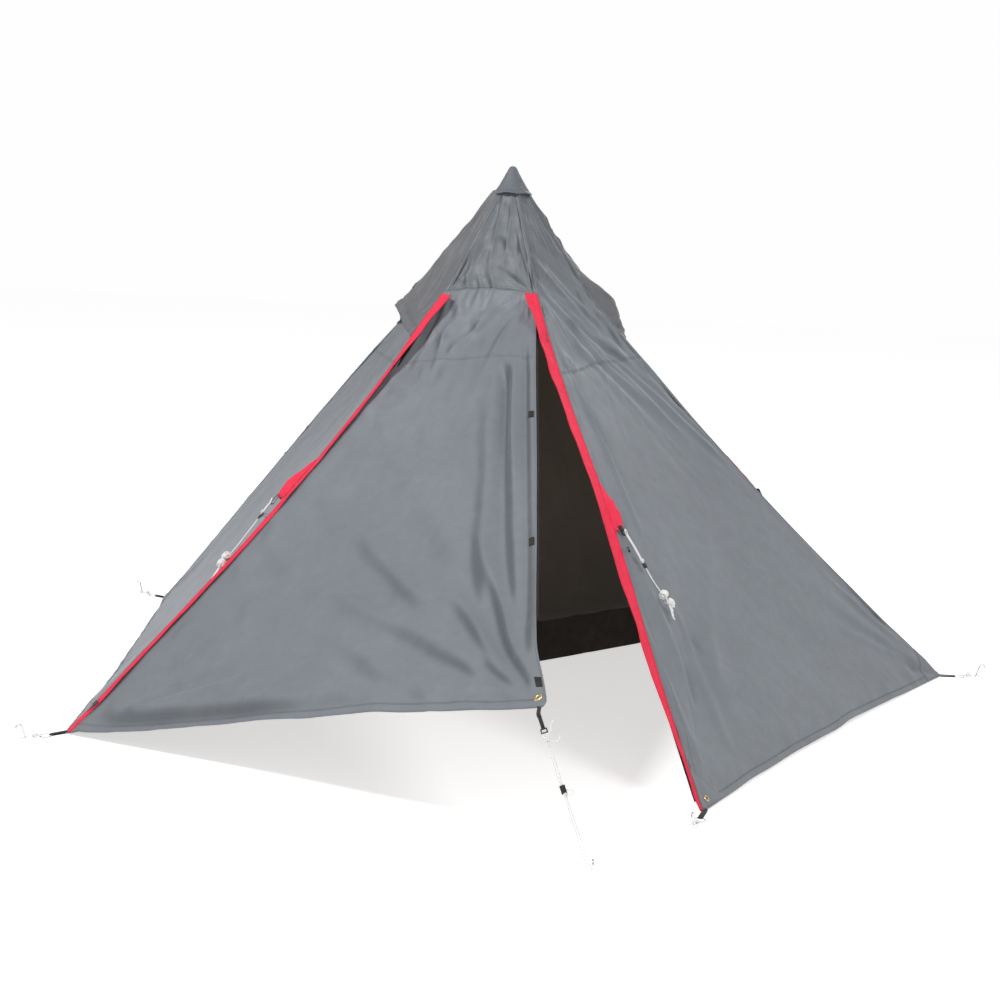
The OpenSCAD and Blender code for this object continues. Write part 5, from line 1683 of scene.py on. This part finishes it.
barrels, elastics = zip(toggle(wall=1, side=-1, inset=0.036, lift=0.012),
                        toggle(wall=4, side=1, inset=0.010, lift=0.016))
joined("door_toggle_barrels", barrels, M_PLASTIC, "black_plastic", smooth=True,
       stands_for="door_toggles")
joined("door_toggle_elastic", sum(elastics, []), M_GREY_TAPE, "black_webbing", smooth=True)

# ---------------------------------------------------------------- inner tent
INNER_R, INNER_Z, SILL_Z = 1.5, 1.6, 0.156
NET_TOP, FRONT_NET_TOP = INNER_Z - 0.064, INNER_Z - 0.084
FRONT_FOLD = compass(math.radians(-36), 0.064)          # foot of the front fold by the pole
INNER_LEFT_FRONT = compass(CORNER_ANGLE[0], INNER_R)
INNER_LEFT = compass(CORNER_ANGLE[4], INNER_R)
INNER_REAR = np.array([0, INNER_R, 0])
INNER_RIGHT = compass(math.radians(54), INNER_R * COS36)
INNER_APEX = np.array([0, 0, INNER_Z])
BINDING = 0.0012                                        # thickness of the binding tapes


def hung_panel(name, start, end, z0, z1, material, slot, stands_for, sag, seed, rows, ripple=1.0):
    """Sloping panel between two base points from z0 to z1, sagging between its edges."""
    z = np.linspace(z0, z1, rows)[:, None, None]
    share = np.linspace(0.004, 0.996, 70)[None, :, None]
    left = start + (INNER_APEX - start) * z / INNER_Z
    right = end + (INNER_APEX - end) * z / INNER_Z
    grid = left * (1 - share) + right * share
    grid[..., 2] = z[..., 0]
    width = np.linalg.norm(grid[:, -1] - grid[:, 0], axis=-1)[:, None]
    z, share = z[..., 0], share[..., 0]
    x, span, up = (share - 0.5) * width, 2 * share - 1, (z - z0) / (z1 - z0)
    edge = ease((1 - np.abs(span)) * width / 2, 0, 0.04)
    rise = -sag * (1 - span ** 2) * (0.4 + 0.6 * np.sin(np.pi * np.clip(up, 0, 1)))
    rise = rise + ripple * 0.006 * billow(x * 5 + seed, z * 4, seed) * edge
    rise = rise + (ripple * 0.004 * folds(x * 9 + z * 3, z * 3, seed + 3, 1.4) * edge
                   * ease(up, 0, 0.15))
    grid = grid + normals(grid) * (rise - 0.002)[..., None]
    sheet(name, grid, material, 0.0008, slot=slot, stands_for=stands_for)
    return grid


def front_frame(base):
    """Frame of the upright front panels: from the front fold to a base point, off, up."""
    level = unit(base - FRONT_FOLD)
    return level, local_frame(FRONT_FOLD, level, np.cross(UP, level), UP)


def place_grid(base, x, off, z):
    _, at = front_frame(base)
    return at(x[..., None], off[..., None], (z + 0 * x)[..., None])


def upright_panel(name, base, z0, z1, material, slot, stands_for, seed, opening=None):
    """Upright front panel between the front fold and a base point."""
    length = float(np.linalg.norm(base - FRONT_FOLD))
    z, share = np.linspace(z0, z1, 60)[:, None], np.linspace(0, 1, 70)[None]
    right = length * (1 - z / INNER_Z) - 0.006
    x = 0.005 + (right - 0.005) * share
    edge = ease(np.minimum(share, 1 - share) * right, 0, 0.05)
    off = (0.004 * billow(x * 4, z * 3, seed) * edge
           + 0.0030 * folds(x * 11 + z * 2, z * 2.5, seed + 2, 1.4) * edge
           - 0.004 * np.sin(np.pi * share) * edge)
    keep = None
    if opening is not None:
        full_z = z + 0 * share
        keep = ~opening((x[:-1, :-1] + x[1:, 1:]) / 2,
                        (full_z[:-1, :-1] + full_z[1:, 1:]) / 2)
    sheet(name, place_grid(base, x, off, z), material, 0.0008, slot=slot,
          stands_for=stands_for, keep=keep)


# net door: left side, right side at its foot, height where that side starts to lean in, top
GATE_LEFT, GATE_RIGHT, GATE_KINK_Z, GATE_TOP_Z = 0.25, 0.86, 0.5, 1.01
GATE_GAP = 0.0025                                       # leaf to opening


def in_gate(x, z):
    lean = (z - GATE_KINK_Z) / (GATE_TOP_Z - GATE_KINK_Z) * (GATE_RIGHT - 0.45)
    right = np.where(z < GATE_KINK_Z, GATE_RIGHT, GATE_RIGHT - lean)
    return (x > GATE_LEFT) & (x < right) & (z > SILL_Z + 0.006) & (z < GATE_TOP_Z)


def inner_walls():
    """Three hung walls, each a sill with net above; returns their binding tapes."""
    tapes = []
    for k, (start, end) in enumerate(((INNER_LEFT, INNER_LEFT_FRONT), (INNER_REAR, INNER_LEFT),
                                      (INNER_RIGHT, INNER_REAR))):
        sill = hung_panel("inner_sill_" + "abc"[k], start, end, 0.005, SILL_Z, M_SILL,
                          "inner_fabric", None if k else "inner_sill", sag=0.008,
                          seed=840 + k, rows=26, ripple=1.6)
        mesh = hung_panel("inner_net_wall_" + "abc"[k], start, end, SILL_Z, NET_TOP, M_NET,
                          "inner_net", None if k else "inner_mesh_walls", sag=0.022,
                          seed=850 + k, rows=60)
        level = unit(end - start)
        tapes.append(strap(sill[-1] + UP * 0.001, mesh[3, 30] - mesh[0, 30], 0.014, BINDING))
        tapes.append(strap(mesh[:, 0], level, 0.012, BINDING))
        tapes += [strap(sill[:, col], level, 0.046, BINDING) for col in (0, -1)]
    z = np.linspace(SILL_Z, NET_TOP, 60)[:, None]
    tapes.append(strap(INNER_LEFT_FRONT + (INNER_APEX - INNER_LEFT_FRONT) * z / INNER_Z,
                       INNER_LEFT_FRONT - INNER_LEFT, 0.012, BINDING))
    return tapes


def net_door():
    share = np.linspace(0, 1, 40)[None]
    z0, z1 = SILL_Z + 0.0085, GATE_TOP_Z - GATE_GAP
    z = z0 + np.linspace(0, 1, 50)[:, None] * (z1 - z0)
    left, right = GATE_LEFT + GATE_GAP, GATE_RIGHT - GATE_GAP
    right = np.where(z < GATE_KINK_Z, right, right - (z - GATE_KINK_Z) / 0.51 * 0.41)
    x = left + (right - left) * share
    off = 0.0022 * billow(x * 6, z * 4, 871) * np.minimum(1, 6 * share * (1 - share))
    grid = place_grid(INNER_LEFT_FRONT, x, off, z)
    sheet("inner_door_net", grid, M_NET, 0.0008, slot="inner_net", body="inner_door_leaf",
          stands_for="inner_door")
    rim = np.vstack([grid[0], grid[1:, -1], grid[-1][::-1][1:], grid[:, 0][::-1][1:]])
    joined("inner_door_binding", [tube(rim, 0.0022, 8)], M_SILL, "inner_fabric", smooth=True,
           body="inner_door_leaf")


def front_tapes():
    """Tape up the front fold, then up the slope and along the sill of each front panel."""
    level, at = front_frame(INNER_LEFT_FRONT)
    tapes = [strap([at(0, 0, z) for z in np.linspace(0.01, INNER_Z - 0.09, 40)], level,
                   0.010, BINDING)]
    for base in (INNER_LEFT_FRONT, INNER_RIGHT):
        length = float(np.linalg.norm(base - FRONT_FOLD))
        level, at = front_frame(base)
        slope_line = [at(length * (1 - z / INNER_Z) - 0.008, 0, z)
                      for z in np.linspace(SILL_Z, INNER_Z - 0.09, 60)]
        sill_line = [at(x, 0, SILL_Z)
                     for x in np.linspace(0.005, length * (1 - SILL_Z / INNER_Z) - 0.01, 60)]
        tapes.append(strap(slope_line, level, 0.012, BINDING))
        tapes.append(strap(sill_line, UP, 0.014, BINDING))
    return tapes


def groundsheet():
    """Soft-creased floor, its rows running out from an inner point to the rim."""
    outline = [INNER_LEFT_FRONT * 0.985, FRONT_FOLD * 0.93, INNER_RIGHT * 0.985,
               INNER_REAR * 0.99, INNER_LEFT * 0.99]
    rim = np.vstack([np.linspace(start, end, 40, endpoint=False)
                     for start, end in zip(outline, outline[1:] + outline[:1])])
    middle = np.array([-0.35, 0.35, 0.0])
    # clockwise from above, so that the sheet faces up
    grid = middle + (rim[::-1][None] - middle) * np.linspace(0.02, 1, 44)[:, None, None]
    x, y = grid[..., 0], grid[..., 1]
    grid[..., 2] = (0.0024 + 0.0022 * np.abs(billow(x * 3, y * 3, 880))
                    + 0.004 * ease(folds(x * 2.2 + y, y * 1.6, 881, 2.2), 0.3, 0.8))
    sheet("inner_groundsheet", grid, M_FLOOR, 0.0010, slot="inner_fabric", wrap=True,
          stands_for="inner_floor")


tapes = inner_walls()
upright_panel("inner_front_sill_left", INNER_LEFT_FRONT, 0.005, SILL_Z, M_SILL,
              "inner_fabric", "inner_front_sill", seed=861)
upright_panel("inner_front_sill_right", INNER_RIGHT, 0.005, SILL_Z, M_SILL,
              "inner_fabric", None, seed=862)
upright_panel("inner_front_net_left", INNER_LEFT_FRONT, SILL_Z, FRONT_NET_TOP, M_NET,
              "inner_net", "inner_front_mesh", seed=863, opening=in_gate)
upright_panel("inner_front_net_right", INNER_RIGHT, SILL_Z, FRONT_NET_TOP, M_NET,
              "inner_net", None, seed=864)
net_door()
joined("inner_binding_tapes", tapes + front_tapes(), M_SILL, "inner_fabric")
groundsheet()

# insect net behind each vent
for name, wall, stands_for in (("vent_net_left", 4, "vent_mesh"), ("vent_net_right", 2, None)):
    grid, _ = on_wall(wall, np.linspace(-0.90, 0.90, 50)[None],
                      np.linspace(1.392, 1.568, 30)[:, None], -0.0036)
    sheet(name, grid, M_VENT_NET, 0.0006, slot="inner_net", stands_for=stands_for)

# ---------------------------------------------------------------- door pieces: transforms baked into their meshes
BEND_WIDTH = 0.30
for piece in [door, door_stitching, door_zip] + door_tabs:
    tuple(HINGE_FOOT + unit(FOLD_SIDE) * BEND_WIDTH)
    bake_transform(piece)
    if not piece.get("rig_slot"):        # a piece with no recorded slot counts as canopy
        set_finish(piece, "canopy_fabric")


# ---------------------------------------------------------------- stage, light, camera
def build_floor():
    bpy.ops.mesh.primitive_plane_add(size=60, location=(0, 0, 0.0))
    floor = bpy.context.object
    floor.name = "floor"
    material = bpy.data.materials.new("floor")
    material.use_nodes = True
    inputs = material.node_tree.nodes["Principled BSDF"].inputs
    inputs["Base Color"].default_value = (0.80, 0.80, 0.80, 1)
    inputs["Roughness"].default_value = 0.9
    inputs["Specular IOR Level"].default_value = 0.0
    inputs["Emission Color"].default_value = (1, 1, 1, 1)
    inputs["Emission Strength"].default_value = 0.61
    floor.data.materials.append(material)


def build_world():
    """White world: near full strength as the backdrop, under half of it as light."""
    world = bpy.data.worlds.new("studio")
    bpy.context.scene.world = world
    world.use_nodes = True
    tree = world.node_tree
    background = tree.nodes["Background"]
    background.inputs[0].default_value = (1, 1, 1, 1)
    rays = tree.nodes.new("ShaderNodeLightPath")
    strength = tree.nodes.new("ShaderNodeMapRange")
    strength.inputs[3].default_value = 0.46
    strength.inputs[4].default_value = 0.99
    tree.links.new(rays.outputs["Is Camera Ray"], strength.inputs[0])
    tree.links.new(strength.outputs[0], background.inputs[1])


def area_light(name, location, target, size, power):
    light = bpy.data.lights.new(name, "AREA")
    light.shape = "DISK"
    light.size = size
    light.energy = power
    lamp = bpy.data.objects.new(name, light)
    bpy.context.scene.collection.objects.link(lamp)
    lamp.location = location
    aim = Vector(target) - Vector(location)
    lamp.rotation_euler = aim.to_track_quat("-Z", "Y").to_euler()


def build_camera(location, pitch, yaw, roll, lens):
    """pitch is downwards, yaw counterclockwise from +Y, both in radians like roll."""
    forward = np.array([-math.sin(yaw) * math.cos(pitch), math.cos(yaw) * math.cos(pitch),
                        -math.sin(pitch)])
    level = compass(yaw)
    upward = np.cross(level, forward)
    right = level * math.cos(roll) + upward * math.sin(roll)
    top = -level * math.sin(roll) + upward * math.cos(roll)
    data = bpy.data.cameras.new("camera")
    data.sensor_width = 36
    data.lens = lens
    data.clip_start, data.clip_end = 0.1, 200
    camera = bpy.data.objects.new("camera", data)
    bpy.context.scene.collection.objects.link(camera)
    rows = [(right[j], top[j], -forward[j], location[j]) for j in range(3)]
    camera.matrix_world = Matrix((*rows, (0, 0, 0, 1)))
    bpy.context.scene.camera = camera


build_floor()
build_world()
area_light("key", (-3.2, -4.6, 8.3), target=(0, -0.4, 0.5), size=1.3, power=500)
area_light("fill", (5.4, -3.4, 6.8), target=(0, 0, 0.6), size=3.0, power=215)
area_light("back", (1.0, 7.0, 5.5), target=(0, 0, 1.0), size=4.0, power=110)
build_camera((1.58103, -5.82516, 1.54205), pitch=0.15254, yaw=0.26510, roll=0.03876,
             lens=60.66216)
bpy.context.scene.view_settings.view_transform = "Standard"
